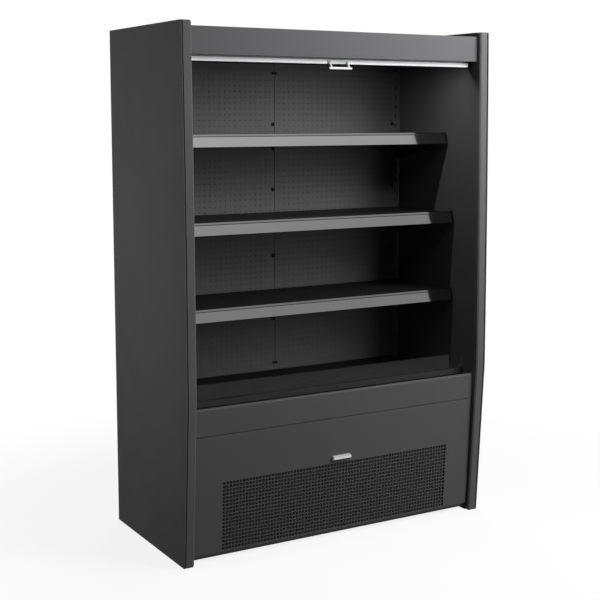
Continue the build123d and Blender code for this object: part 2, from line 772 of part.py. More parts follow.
def front_ledge():
    """The ledge behind the bumper: a slot for the returning air, the riser's channel and a step."""
    points = [
        (LEDGE_FRONT, LEDGE_TOP - LEDGE_FOLD),
        (LEDGE_FRONT, LEDGE_TOP),
        (LEDGE_STEP, LEDGE_TOP),
        (LEDGE_STEP, DUCT_BOTTOM),
        (LEDGE_HEEL, DUCT_BOTTOM),
    ]
    ledge = folded(points, -INNER, INNER)
    underside = LEDGE_TOP - SHEET
    walls = (
        (RISER_FACE - CHANNEL_WALL, RISER_FACE - CHANNEL_PLAY),
        (RISER_FACE + RISER + CHANNEL_PLAY, RISER_FACE + RISER + CHANNEL_WALL),
    )
    for y0, y1 in walls:
        ledge += block(-CHANNEL_HALF, CHANNEL_HALF, y0, y1, underside, CHANNEL_TOP)
    foot_front = TUB_FRONT + LEDGE_FOOT_GAP
    foot_back = TUB_FRONT + TUB_WALL - LEDGE_FOOT_GAP
    ledge += block(-INNER, INNER, foot_front, foot_back, TUB_RIM, underside)
    air_slot = block(
        -RETURN_HALF, RETURN_HALF, RETURN_FRONT, RETURN_BACK, TUB_RIM, LEDGE_TOP + SHEET
    )
    return ledge - air_slot


def riser():
    """The clear upstand along the deck's front."""
    back = RISER_FACE + RISER
    panel = block(-RISER_HALF, RISER_HALF, RISER_FACE, back, LEDGE_TOP, RISER_TOP)
    top_corners = panel.edges().filter_by(Axis.Y).sort_by(Axis.Z)[-2:]
    return fillet(top_corners, RISER_ROUND)


def bumper():
    """The front apron over the well's wall, with a rounded nose."""
    points = [
        (LEDGE_FRONT, LEDGE_TOP - LEDGE_FOLD),
        (LEDGE_FRONT, BUMPER_TOP),
        (BUMPER_FACE, BUMPER_TOP),
        (BUMPER_FOOT, BUMPER_BOTTOM),
        (TUB_FRONT, BUMPER_BOTTOM),
    ]
    outer = FilletPolyline(*points[:4], radius=BUMPER_NOSE)
    sheet = Wire([*outer.edges(), *Polyline(*points[3:]).edges()])
    face = make_face(offset(sheet, amount=BUMPER_SHEET, side=Side.LEFT, kind=Kind.INTERSECTION))
    return along_x(face, -INNER, INNER)


def panel_face_y(height):
    """Depth of the lower panel's front face at a height."""
    share = (PANEL_TOP - height) / (PANEL_TOP - PANEL_BEND)
    return PANEL_TOP_Y + share * (PANEL_BEND_Y - PANEL_TOP_Y)


def lower_grille_panel():
    """The lower front panel: leaning, bent back at its toe, with one opening for the mesh."""
    points = [
        (TUB_FRONT, PANEL_TOP),
        (PANEL_TOP_Y, PANEL_TOP),
        (PANEL_BEND_Y, PANEL_BEND),
        (PANEL_TOE_Y, PANEL_TOE),
    ]
    panel = folded(points, -PANEL_HALF, PANEL_HALF, side=Side.LEFT)
    top_edges = panel.edges().filter_by(Axis.X).group_by(Axis.Z)[-1]
    panel = fillet(top_edges.sort_by(Axis.Y)[0], PANEL_NOSE)
    opening = block(-FIELD_HALF, FIELD_HALF, FRONT, PANEL_TOE_Y, FIELD_BOTTOM, FIELD_TOP)
    return panel - opening


def mesh_layer(front, columns, rows):
    """One punched layer of the mesh, half the sheet deep, with open slots between its bars."""
    half = SHEET / 2
    top = panel_face_y(FIELD_TOP) + front
    bottom = panel_face_y(FIELD_BOTTOM) + front
    section = polygon(
        (top, FIELD_TOP),
        (top + half, FIELD_TOP),
        (bottom + half, FIELD_BOTTOM),
        (bottom, FIELD_BOTTOM),
    )
    layer = along_x(section, -FIELD_HALF, FIELD_HALF)
    pitch_x = 2 * FIELD_HALF / columns
    pitch_z = (FIELD_TOP - FIELD_BOTTOM) / rows
    slot = Rectangle(pitch_x - MESH_BAR, pitch_z - MESH_BAR)
    grid = repeated(GridLocations(pitch_x, pitch_z, columns, rows), slot)
    slots = extrude(Plane.XZ * grid, amount=THROUGH, both=True)
    return layer - Pos(0, PANEL_BEND_Y, (FIELD_TOP + FIELD_BOTTOM) / 2) * slots


def grille_mesh():
    """A mesh of square holes, flush in the panel: upright bars in front, level bars behind."""
    columns = round(2 * FIELD_HALF / MESH_PITCH)
    rows = round((FIELD_TOP - FIELD_BOTTOM) / MESH_PITCH)
    return Compound(children=[mesh_layer(0, columns, 1), mesh_layer(SHEET / 2, 1, rows)])


def grille_pull():
    """A small finger pull on the lower panel: a back plate and a curled lip."""
    half = PULL_WIDTH / 2
    middle = panel_face_y(PULL_Z)
    high = PULL_Z + PULL_HALF
    low = PULL_Z - PULL_HALF
    high_y = panel_face_y(high)
    low_y = panel_face_y(low)
    section = polygon(
        (high_y, high),
        (high_y - PULL_WALL, high),
        *[(middle - reach, PULL_Z + rise) for reach, rise in PULL_CURL],
        (low_y - PULL_WALL, PULL_Z + PULL_INSIDE),
        (low_y - PULL_WALL, low),
        (low_y, low),
    )
    pull = along_x(section, -half, half)
    end_edges = pull.edges().filter_by(lambda e: abs(e.center().X) > half - NEAR)
    return chamfer(end_edges.sort_by(Axis.Y)[:2], PULL_BEVEL)


def return_air_grille():
    """The cell plate that lets air back into the well, in the ledge's slot."""
    foot = LEDGE_TOP - RETURN_DEPTH
    return cell_plate(RETURN_HALF, RETURN_FRONT, RETURN_BACK, foot, LEDGE_TOP)


def outlet_honeycomb():
    """The cell plate that the cold air leaves by, under the canopy."""
    top = DUCT_TOP + HONEYCOMB_DEPTH
    return cell_plate(HONEYCOMB_HALF, HONEYCOMB_FRONT, HONEYCOMB_BACK, DUCT_TOP, top)


def finned_block(x0, x1, y0, y1, z0, z1, fins, bends):
    """A coil: a block cut into fins on its front face, with tube bends past both ends."""
    body = block(x0, x1, y0, y1, z0, z1)
    pitch = (x1 - x0) / fins
    half = pitch * FIN_GAP / 2
    gap_back = y0 + (y1 - y0) * FIN_DEPTH
    for n in range(fins):
        x = x0 + (n + 0.5) * pitch
        body -= block(x - half, x + half, y0, gap_back, z0 + COIL_FRAME, z1 - COIL_FRAME)
    spacing = (z1 - z0) / (bends + 0.5)
    tube = Plane.YZ * Pos(0, spacing / 4) * RegularPolygon(COIL_TUBE / 2, 8)
    bend = revolve(tube, Axis.Y, -180)
    for n in range(bends):
        z = z0 + (n + 0.75) * spacing
        body += Pos(x0, (y0 + y1) / 2, z) * bend
        body += Pos(x1, (y0 + y1) / 2, z) * Rot(0, 0, 180) * bend
    return body


def evaporator_coil():
    """The cooling coil in the well."""
    return finned_block(
        -EVAPORATOR_HALF,
        EVAPORATOR_HALF,
        EVAPORATOR_FRONT,
        EVAPORATOR_BACK,
        TUB_FLOOR,
        TUB_FLOOR + EVAPORATOR_HEIGHT,
        EVAPORATOR_FINS,
        EVAPORATOR_BENDS,
    )


def condenser_coil():
    """The condenser behind the grille."""
    return finned_block(
        CONDENSER_X - CONDENSER_HALF,
        CONDENSER_X + CONDENSER_HALF,
        CONDENSER_FRONT,
        CONDENSER_FRONT + CONDENSER_DEPTH,
        BAY_FLOOR,
        CONDENSER_TOP,
        CONDENSER_FINS,
        CONDENSER_BENDS,
    )


def fan_rotor(tip_radius, hub_radius, depth, blades):
    """A rotor about Z: a hub with a blind bore, and pitched blades with an arched section."""
    standing = (Align.CENTER, Align.CENTER, Align.MIN)
    rotor = Cylinder(hub_radius, depth, align=standing)
    chord = tip_radius * BLADE_CHORD
    bow = ThreePointArc((-chord / 2, 0), (0, depth * BLADE_ARCH), (chord / 2, 0))
    section = make_face(offset(Wire([bow]), amount=BLADE_SHEET, side=Side.LEFT))
    root = Plane(
        origin=(hub_radius - BLADE_ROOT, 0, depth / 2), x_dir=(0, 1, 0), z_dir=(1, 0, 0)
    )
    blade = extrude(root * Rot(0, 0, BLADE_PITCH) * section, amount=tip_radius)
    blade &= Cylinder(tip_radius, 3 * depth)
    for n in range(blades):
        rotor += Rot(0, 0, 360 * n / blades) * blade
    bore = Cylinder(FAN_SHAFT + FAN_CLEARANCE, depth * BORE_SHARE, align=standing)
    return rotor - bore


def fan_motor(opening_radius, plate_depth):
    """A motor about Z on four arms that reach a round opening, with its shaft."""
    body = Pos(0, 0, MOTOR_FRONT - MOTOR_LENGTH / 2) * Cylinder(MOTOR_RADIUS, MOTOR_LENGTH)
    body = chamfer(body.edges().sort_by(Axis.Z)[0], MOTOR_BEVEL)
    reach = opening_radius + ARM_LAP
    half = ARM_WIDTH / 2
    arm = block(ARM_ROOT, reach, -half, half, ARM_BACK, ARM_BACK + plate_depth)
    for n in range(4):
        body += Rot(0, 0, 45 + 90 * n) * arm
    shaft = Cylinder(FAN_SHAFT, SHAFT_LENGTH, align=(Align.CENTER, Align.CENTER, Align.MIN))
    return body + Pos(0, 0, SHAFT_BACK) * shaft


def evaporator_fan_plate():
    """The wall across the well that carries both fans' motors."""
    back = FAN_PLATE_Y + FAN_PLATE
    plate = block(-INNER, INNER, FAN_PLATE_Y, back, TUB_FLOOR, FAN_PLATE_TOP)
    motor = fan_motor(EVAPORATOR_FAN_RADIUS + FAN_PLATE, 2 * FAN_PLATE)
    for x in (-EVAPORATOR_FAN_X, EVAPORATOR_FAN_X):
        centre = Pos(x, FAN_PLATE_Y, EVAPORATOR_FAN_Z) * Rot(-90, 0, 0)
        plate -= centre * Cylinder(EVAPORATOR_FAN_RADIUS + FAN_GAP, THROUGH)
        plate += centre * Pos(0, 0, EVAPORATOR_MOTOR_Z) * motor
    return plate


def evaporator_fan_rotor(side):
    """One of the well's rotors, behind the fan plate."""
    rotor = fan_rotor(EVAPORATOR_FAN_RADIUS, EVAPORATOR_HUB, EVAPORATOR_ROTOR, FAN_BLADES)
    place = Pos(side * EVAPORATOR_FAN_X, EVAPORATOR_ROTOR_Y, EVAPORATOR_FAN_Z)
    return place * Rot(-90, 0, 0) * rotor


def condenser_fan_shroud():
    """The box behind the condenser with a round throat and its motor."""
    y0 = CONDENSER_FRONT + CONDENSER_DEPTH
    x0 = CONDENSER_X - CONDENSER_HALF
    x1 = CONDENSER_X + CONDENSER_HALF
    box = block(x0, x1, y0, y0 + SHROUD_DEPTH, BAY_FLOOR, CONDENSER_TOP)
    box -= block(
        x0 + SHROUD_SHEET,
        x1 - SHROUD_SHEET,
        y0,
        y0 + SHROUD_DEPTH - SHROUD_SHEET,
        BAY_FLOOR + SHROUD_SHEET,
        CONDENSER_TOP - SHROUD_SHEET,
    )
    centre = Pos(CONDENSER_X, y0 + SHROUD_DEPTH, FAN_Z) * Rot(90, 0, 0)
    throat = Cylinder(FAN_RADIUS + FAN_GAP + THROAT_WALL, THROAT_FRONT + THROAT_BACK)
    box += centre * Pos(0, 0, (THROAT_FRONT - THROAT_BACK) / 2) * throat
    box -= centre * Cylinder(FAN_RADIUS + FAN_GAP, 2 * THROUGH)
    motor = fan_motor(FAN_RADIUS + SHROUD_SHEET, 2 * SHROUD_SHEET)
    return box + centre * Pos(0, 0, CONDENSER_MOTOR_Z) * motor


def condenser_fan_rotor():
    """The condenser's rotor, in the throat of its shroud."""
    y0 = CONDENSER_FRONT + CONDENSER_DEPTH + SHROUD_DEPTH
    rotor = fan_rotor(FAN_RADIUS, CONDENSER_HUB, CONDENSER_ROTOR, FAN_BLADES)
    centre = Pos(CONDENSER_X, y0, FAN_Z) * Rot(90, 0, 0)
    return centre * Pos(0, 0, CONDENSER_ROTOR_Z) * rotor


def compressor():
    """A hermetic compressor: a domed pot on a foot plate, with suction and discharge stubs."""
    pot = revolve(Plane.XZ * polygon(*POT_SIDE), Axis.Z)
    pot += Pos(0, 0, POT_SEAM_Z) * Cylinder(POT_SEAM_RADIUS, POT_SEAM)
    for place, tilt, radius, length in STUBS:
        pot += Pos(*place) * Rot(0, tilt, 0) * Cylinder(radius, length)
    foot = extrude(
        fillet(Rectangle(*POT_FOOT).vertices(), POT_FOOT_ROUND), amount=POT_FOOT_SHEET
    )
    body = Pos(0, 0, POT_LIFT) * pot + Pos(0, 0, POT_PAD_HEIGHT) * foot
    for place in GridLocations(*POT_PADS, 2, 2):
        body += Pos(0, 0, POT_PAD_HEIGHT / 2) * place * Cylinder(POT_PAD_RADIUS, POT_PAD_HEIGHT)
    return Pos(COMPRESSOR_X, COMPRESSOR_Y, BAY_FLOOR) * body


def drip_tray():
    """The tray that the defrost water runs into, under the drain."""
    tray = block(
        DRAIN_X - TRAY_HALF,
        DRAIN_X + TRAY_HALF,
        DRAIN_Y - TRAY_HALF,
        DRAIN_Y + TRAY_HALF,
        BAY_FLOOR,
        BAY_FLOOR + TRAY_HEIGHT,
    )
    tray = fillet(tray.edges().filter_by(Axis.Z), TRAY_ROUND)
    return offset(tray, -TRAY_WALL, openings=tray.faces().sort_by(Axis.Z)[-1])


def control_box():
    """The electrical box on the bay's floor, with the supply gland through the rear sheet."""
    top = BAY_FLOOR + BOX_HEIGHT
    box = block(BOX_LEFT, BOX_RIGHT, BOX_FRONT, BOX_BACK, BAY_FLOOR, top)
    box = chamfer(box.edges().filter_by(Axis.X).sort_by(Axis.Z)[-2:], BOX_BEVEL)
    neck = Rot(90, 0, 0) * Cylinder(GLAND_NECK, GLAND_NECK_LENGTH)
    nut = Rot(90, 0, 0) * Cylinder(GLAND_NUT, GLAND_NUT_LENGTH)
    box += Pos(GLAND_X, GLAND_NECK_Y, GLAND_Z) * neck
    return box + Pos(GLAND_X, GLAND_NUT_Y, GLAND_Z) * nut


def pieces():
    """Every piece by its name."""
    made = {
        "left_end_panel": end_panel(-1),
        "right_end_panel": end_panel(1),
        "left_edge_trim": edge_trim(-1),
        "right_edge_trim": edge_trim(1),
        "base_frame": base_frame(),
        "insulated_tub": insulated_tub(),
        "insulated_back_wall": insulated_back_wall(),
        "insulated_roof": insulated_roof(),
        "rear_service_panel": rear_service_panel(),
        "left_duct_panel": duct_panel(-1),
        "right_duct_panel": duct_panel(1),
        "left_upright": upright(-1),
        "right_upright": upright(1),
        "ceiling_panel": ceiling_panel(),
        "canopy_fascia": canopy_fascia(),
        "outlet_honeycomb": outlet_honeycomb(),
        "light_housing": light_housing(),
        "light_diffuser": light_diffuser(),
        "blind_brackets": blind_brackets(),
        "blind_roller_tube": blind_roller_tube(),
        "blind_roll": blind_roll(),
        "blind_cloth": blind_cloth(),
        "blind_bar": blind_bar(),
        "blind_bar_end_caps": blind_bar_end_caps(),
        "blind_handle": blind_handle(),
        "left_deck_tray": deck_tray(-1),
        "right_deck_tray": deck_tray(1),
        "front_ledge": front_ledge(),
        "return_air_grille": return_air_grille(),
        "riser": riser(),
        "bumper": bumper(),
        "lower_grille_panel": lower_grille_panel(),
        "grille_mesh": grille_mesh(),
        "grille_pull": grille_pull(),
        "evaporator_coil": evaporator_coil(),
        "evaporator_fan_plate": evaporator_fan_plate(),
        "left_evaporator_rotor": evaporator_fan_rotor(-1),
        "right_evaporator_rotor": evaporator_fan_rotor(1),
        "compressor": compressor(),
        "condenser_coil": condenser_coil(),
        "condenser_fan_shroud": condenser_fan_shroud(),
        "condenser_fan_rotor": condenser_fan_rotor(),
        "drip_tray": drip_tray(),
        "control_box": control_box(),
    }
    for n in range(len(SHELF_TOPS)):
        made[f"shelf_{n + 1}_plate"] = shelf_plate(n)
        made[f"shelf_{n + 1}_brackets"] = shelf_brackets(n)
        made[f"shelf_{n + 1}_ticket_rail"] = shelf_ticket_rail(n)
        made[f"shelf_{n + 1}_rail_caps"] = shelf_rail_caps(n)
    for y, row in ((FOOT_FRONT_Y, "front"), (FOOT_BACK_Y, "back")):
        for x, side in ((-FOOT_X, "left"), (FOOT_X, "right")):
            made[f"foot_{row}_{side}"] = levelling_foot(x, y)
    return made


os.makedirs("parts", exist_ok=True)
for name, piece in pieces().items():
    export_step(piece, f"parts/{name}.step")
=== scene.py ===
"""The looks of an open multideck display fridge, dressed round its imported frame.

Metres. +X is to the right as seen from the front, +Y to the back and +Z up, with the origin on the
floor at the middle of the footprint. Every new piece takes its place from the frame's own nodes.
"""

import json
import logging
import math
from dataclasses import dataclass, field
from enum import Enum
from typing import Callable

import bpy
import numpy as np
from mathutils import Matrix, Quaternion, Vector


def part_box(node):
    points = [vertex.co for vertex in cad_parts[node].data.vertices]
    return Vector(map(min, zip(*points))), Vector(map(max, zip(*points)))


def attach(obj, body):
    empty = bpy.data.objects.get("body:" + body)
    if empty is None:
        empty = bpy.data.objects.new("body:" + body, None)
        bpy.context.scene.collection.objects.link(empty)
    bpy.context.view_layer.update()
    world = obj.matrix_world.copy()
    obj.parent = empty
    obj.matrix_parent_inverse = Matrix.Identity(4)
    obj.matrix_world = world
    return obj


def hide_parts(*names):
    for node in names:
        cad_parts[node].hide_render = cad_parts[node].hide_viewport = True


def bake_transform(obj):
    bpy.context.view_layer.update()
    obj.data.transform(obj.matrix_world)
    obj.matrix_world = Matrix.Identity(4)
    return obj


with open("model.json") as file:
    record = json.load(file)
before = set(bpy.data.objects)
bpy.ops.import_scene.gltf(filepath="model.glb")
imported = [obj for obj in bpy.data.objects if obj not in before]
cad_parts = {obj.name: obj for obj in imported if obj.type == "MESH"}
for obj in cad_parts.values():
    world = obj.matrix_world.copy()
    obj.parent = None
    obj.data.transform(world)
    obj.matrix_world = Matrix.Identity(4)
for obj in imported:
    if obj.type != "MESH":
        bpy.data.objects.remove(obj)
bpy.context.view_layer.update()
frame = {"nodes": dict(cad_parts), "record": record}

MM = 0.001
TURN = 2 * math.pi
CREASE = math.radians(40)
NOISE_SPAN = (0.3, 0.7)

log = logging.getLogger("fridge")

Colour = tuple[float, float, float]
Point = tuple[float, float, float]
Pair = tuple[float, float]


# ---------------------------------------------------------------- shapes


class Hole(Enum):
    """The form of a punched hole, as the reach of its four diagonal points."""

    SQUARE = 1.0
    EASED = 0.82
    ROUND = math.sqrt(0.5)


@dataclass
class Shell:
    """Points and faces of one or more closed surfaces, before they are made a piece.

    Args:
        points: an (n, 3) array.
        faces: arrays of point numbers, each array with its own count of corners.
    """

    points: np.ndarray
    faces: list[np.ndarray]

    def volume(self) -> float:
        """Signed volume: the sum over triangles of a . (b x c) / 6.

        Returns:
            The volume, which is negative where the faces point inwards.
        """
        total = 0.0
        for group in self.faces:
            a = self.points[group[:, 0]]
            for n in range(1, group.shape[1] - 1):
                b = self.points[group[:, n]]
                c = self.points[group[:, n + 1]]
                total += float((a * np.cross(b, c)).sum()) / 6
        return total

    def outward(self) -> "Shell":
        """Returns the same shell with its faces pointing outwards."""
        if self.volume() < 0:
            return Shell(self.points, [group[:, ::-1] for group in self.faces])
        return self

    def placed(self, place: Callable[[np.ndarray], np.ndarray]) -> "Shell":
        """Returns the shell with its points sent through a function of whole arrays."""
        return Shell(place(self.points), self.faces)

    def copied_to(self, places: np.ndarray) -> "Shell":
        """One copy at each place.

        Args:
            places: an (m, 3) array of moves.

        Returns:
            One shell that holds all the copies.
        """
        count = len(self.points)
        points = (self.points[None, :, :] + places[:, None, :]).reshape(-1, 3)
        starts = np.arange(len(places)) * count
        faces = [
            (group[None, :, :] + starts[:, None, None]).reshape(-1, group.shape[1])
            for group in self.faces
        ]
        return Shell(points, faces)

    def piece(self, name: str, finish: bpy.types.Material) -> bpy.types.Object:
        """Makes the shell an object at the origin, with its place in its mesh.

        Edges that turn by more than CREASE are shaded sharp, and gentler ones smooth.

        Args:
            name: the piece's name.
            finish: its material.

        Returns:
            The new object.
        """
        loops = np.concatenate([group.ravel() for group in self.faces])
        totals = np.concatenate([np.full(len(g), g.shape[1]) for g in self.faces])
        starts = np.concatenate([[0], np.cumsum(totals)[:-1]])
        mesh = bpy.data.meshes.new(name)
        mesh.vertices.add(len(self.points))
        mesh.vertices.foreach_set("co", self.points.astype(np.float32).ravel())
        mesh.loops.add(len(loops))
        mesh.loops.foreach_set("vertex_index", loops.astype(np.int32))
        mesh.polygons.add(len(totals))
        mesh.polygons.foreach_set("loop_start", starts.astype(np.int32))
        mesh.update(calc_edges=True)
        mesh.validate()
        mesh.set_sharp_from_angle(angle=CREASE)
        mesh.materials.append(finish)
        made = bpy.data.objects.new(name, mesh)
        bpy.context.scene.collection.objects.link(made)
        return made


def joined(shells: list[Shell]) -> Shell:
    """Several shells as one.

    Args:
        shells: closed shells, each with its faces outwards.

    Returns:
        One shell with all their points and faces.
    """
    starts = np.cumsum([0] + [len(shell.points) for shell in shells[:-1]])
    points = np.concatenate([shell.points for shell in shells])
    faces = [group + start for shell, start in zip(shells, starts) for group in shell.faces]
    return Shell(points, faces)


def border(rows: int, columns: int) -> np.ndarray:
    """The numbers of a grid's border points, once round, where a point is row * columns + column.

    Args:
        rows: points along the grid's first side.
        columns: points along its second side.

    Returns:
        The numbers, from the first corner on.
    """
    first = np.arange(rows) * columns
    second = (rows - 1) * columns + np.arange(1, columns)
    third = np.arange(rows - 2, -1, -1) * columns + columns - 1
    return np.concatenate([first, second, third, np.arange(columns - 2, 0, -1)])


def rim(loop: np.ndarray, count: int) -> np.ndarray:
    """The faces that join a loop of one layer to the same loop of the next layer.

    Args:
        loop: the loop's point numbers.
        count: points in a layer.

    Returns:
        One four-cornered face for each step of the loop.
    """
    after = np.roll(loop, -1)
    return np.stack([loop, loop + count, after + count, after], -1)


def cell_lines(centres: np.ndarray, low: float, high: float) -> np.ndarray:
    """The grid lines of a row of cells: its two ends, the cells' middles and their bounds.

    Args:
        centres: middles of the holes, in order.
        low: start of the sheet.
        high: end of the sheet.

    Returns:
        An array that goes bound, middle, bound, middle, ... bound.
    """
    between = (centres[1:] + centres[:-1]) / 2
    bounds = np.concatenate([[low], between, [high]])
    lines = np.empty(2 * len(centres) + 1)
    lines[0::2] = bounds
    lines[1::2] = centres
    return lines


def perforated(
    across: np.ndarray, up: np.ndarray, size: Pair, form: Hole, depth: float
) -> Shell:
    """A sheet with one eight-sided hole in each cell of a grid.

    The sheet lies at depth 0 and reaches back to its thickness. A hole's ring is its middle plus
    half its size times the eight compass directions, with the four diagonal ones scaled by the
    form's reach. Each ring point joins the grid point that lies in its direction.

    Args:
        across: grid lines along X, as cell_lines gives them.
        up: grid lines along Z.
        size: a hole's width and height.
        form: the holes' form.
        depth: the sheet's thickness.

    Returns:
        A closed shell.
    """
    compass = np.array(
        [(-1, -1), (0, -1), (1, -1), (1, 0), (1, 1), (0, 1), (-1, 1), (-1, 0)]
    )
    reach = np.where(np.abs(compass).sum(1) == 2, form.value, 1.0)[:, None] * compass
    nx, nz = len(across), len(up)
    gx, gz = np.meshgrid(across, up, indexing="ij")
    grid = np.stack([gx, np.zeros_like(gx), gz], -1).reshape(-1, 3)
    ci, cj = np.meshgrid(np.arange(1, nx, 2), np.arange(1, nz, 2), indexing="ij")
    ci, cj = ci.ravel(), cj.ravel()
    outer = (ci[:, None] + compass[:, 0]) * nz + (cj[:, None] + compass[:, 1])
    rings = np.zeros((len(ci), 8, 3))
    rings[:, :, 0] = across[ci][:, None] + reach[:, 0] * size[0] / 2
    rings[:, :, 2] = up[cj][:, None] + reach[:, 1] * size[1] / 2
    used = np.ones(nx * nz, bool)
    used[ci * nz + cj] = False
    renumber = np.cumsum(used) - 1
    grid = grid[used]
    outer = renumber[outer]
    inner = len(grid) + np.arange(len(ci) * 8).reshape(-1, 8)
    front = np.concatenate([grid, rings.reshape(-1, 3)])
    count = len(front)
    back = front + np.array([0, depth, 0])
    following = np.roll(np.arange(8), -1)
    face = np.stack([outer, outer[:, following], inner[:, following], inner], -1).reshape(-1, 4)
    wall = np.stack(
        [inner, inner[:, following], inner[:, following] + count, inner + count], -1
    ).reshape(-1, 4)
    edge = rim(renumber[border(nx, nz)], count)
    return Shell(np.concatenate([front, back]), [face, face[:, ::-1] + count, wall, edge])


def thickened(grid: np.ndarray, shift: np.ndarray) -> Shell:
    """A surface given as a grid of points, made solid by a second layer and a rim.

    Args:
        grid: an (n, m, 3) array of points.
        shift: what the second layer is moved by, one move or one for each point.

    Returns:
        A closed shell.
    """
    n, m = grid.shape[:2]
    count = n * m
    i, j = np.meshgrid(np.arange(n - 1), np.arange(m - 1), indexing="ij")
    corner = (i * m + j).ravel()
    face = np.stack([corner, corner + m, corner + m + 1, corner + 1], -1)
    points = np.concatenate([grid.reshape(-1, 3), (grid + shift).reshape(-1, 3)])
    edge = rim(border(n, m), count)
    return Shell(points, [face, face[:, ::-1] + count, edge]).outward()


def swept(section: np.ndarray, start: float, end: float) -> Shell:
    """A closed section of (depth, height) points carried along X, with a flat face at each end.

    Args:
        section: an (n, 2) array.
        start: X of the first end.
        end: X of the other end.

    Returns:
        A closed shell.
    """
    n = len(section)
    first = np.column_stack([np.full(n, start), section])
    last = np.column_stack([np.full(n, end), section])
    here = np.arange(n)
    after = np.roll(here, -1)
    side = np.stack([here, after, after + n, here + n], -1)
    caps = np.stack([here[::-1], here + n])
    return Shell(np.concatenate([first, last]), [side, caps]).outward()


def turned(profile: np.ndarray, segments: int, axis: Point) -> Shell:
    """A profile of (radius, height) points turned about an axis through the origin.

    A point is height along the axis, plus radius times (cos a, sin a) in the plane across it, for
    an angle a that goes once round.

    Args:
        profile: an (n, 2) array with radii above zero, from one end to the other.
        segments: steps round the axis.
        axis: direction that height is measured along.

    Returns:
        A closed shell with a flat face at each end.
    """
    along = Vector(axis).normalized()
    side = along.orthogonal().normalized()
    other = along.cross(side)
    angle = np.arange(segments) * TURN / segments
    round_it = np.outer(np.cos(angle), side) + np.outer(np.sin(angle), other)
    rings = profile[:, 0, None, None] * round_it + profile[:, 1, None, None] * np.array(along)
    n = len(profile)
    i, j = np.meshgrid(np.arange(n - 1), np.arange(segments), indexing="ij")
    here, after = i * segments + j, i * segments + (j + 1) % segments
    face = np.stack([here, after, after + segments, here + segments], -1).reshape(-1, 4)
    ring = np.arange(segments)
    caps = np.stack([ring[::-1], (n - 1) * segments + ring])
    return Shell(rings.reshape(-1, 3), [face, caps]).outward()


def block(low: Point, high: Point) -> Shell:
    """A box between two corners, for small plain parts of a larger piece.

    Args:
        low: lowest corner.
        high: highest corner.

    Returns:
        A closed shell.
    """
    section = np.array(
        [(low[1], low[2]), (high[1], low[2]), (high[1], high[2]), (low[1], high[2])]
    )
    return swept(section, low[0], high[0])


# -------------------------------------------------------------- finishes


class Maths(Enum):
    """How two values are brought together."""

    ADD = "ADD"
    MULTIPLY = "MULTIPLY"
    MAXIMUM = "MAXIMUM"


def combined(
    tree: bpy.types.NodeTree,
    how: Maths,
    first: bpy.types.NodeSocket,
    second: bpy.types.NodeSocket,
) -> bpy.types.NodeSocket:
    """Brings two values together.

    Args:
        tree: the node tree that it is made in.
        how: as a sum, a product or the larger one.
        first: one value.
        second: the other one.

    Returns:
        The new value.
    """
    node = tree.nodes.new("ShaderNodeMath")
    node.operation = how.value
    tree.links.new(first, node.inputs[0])
    tree.links.new(second, node.inputs[1])
    return node.outputs["Value"]


def ranged(
    tree: bpy.types.NodeTree,
    source: bpy.types.NodeSocket,
    span: Pair,
    levels: Pair,
    smooth: bool = False,
) -> bpy.types.NodeSocket:
    """A change of level over a span of a value.

    Args:
        tree: the node tree that it is made in.
        source: the value.
        span: where the change starts and ends.
        levels: the level before and after it.
        smooth: whether it sets in and ends gently.

    Returns:
        The level.
    """
    node = tree.nodes.new("ShaderNodeMapRange")
    if smooth:
        node.interpolation_type = "SMOOTHSTEP"
    for name, number in zip(("From Min", "From Max", "To Min", "To Max"), (*span, *levels)):
        node.inputs[name].default_value = number
    tree.links.new(source, node.inputs["Value"])
    return node.outputs["Result"]


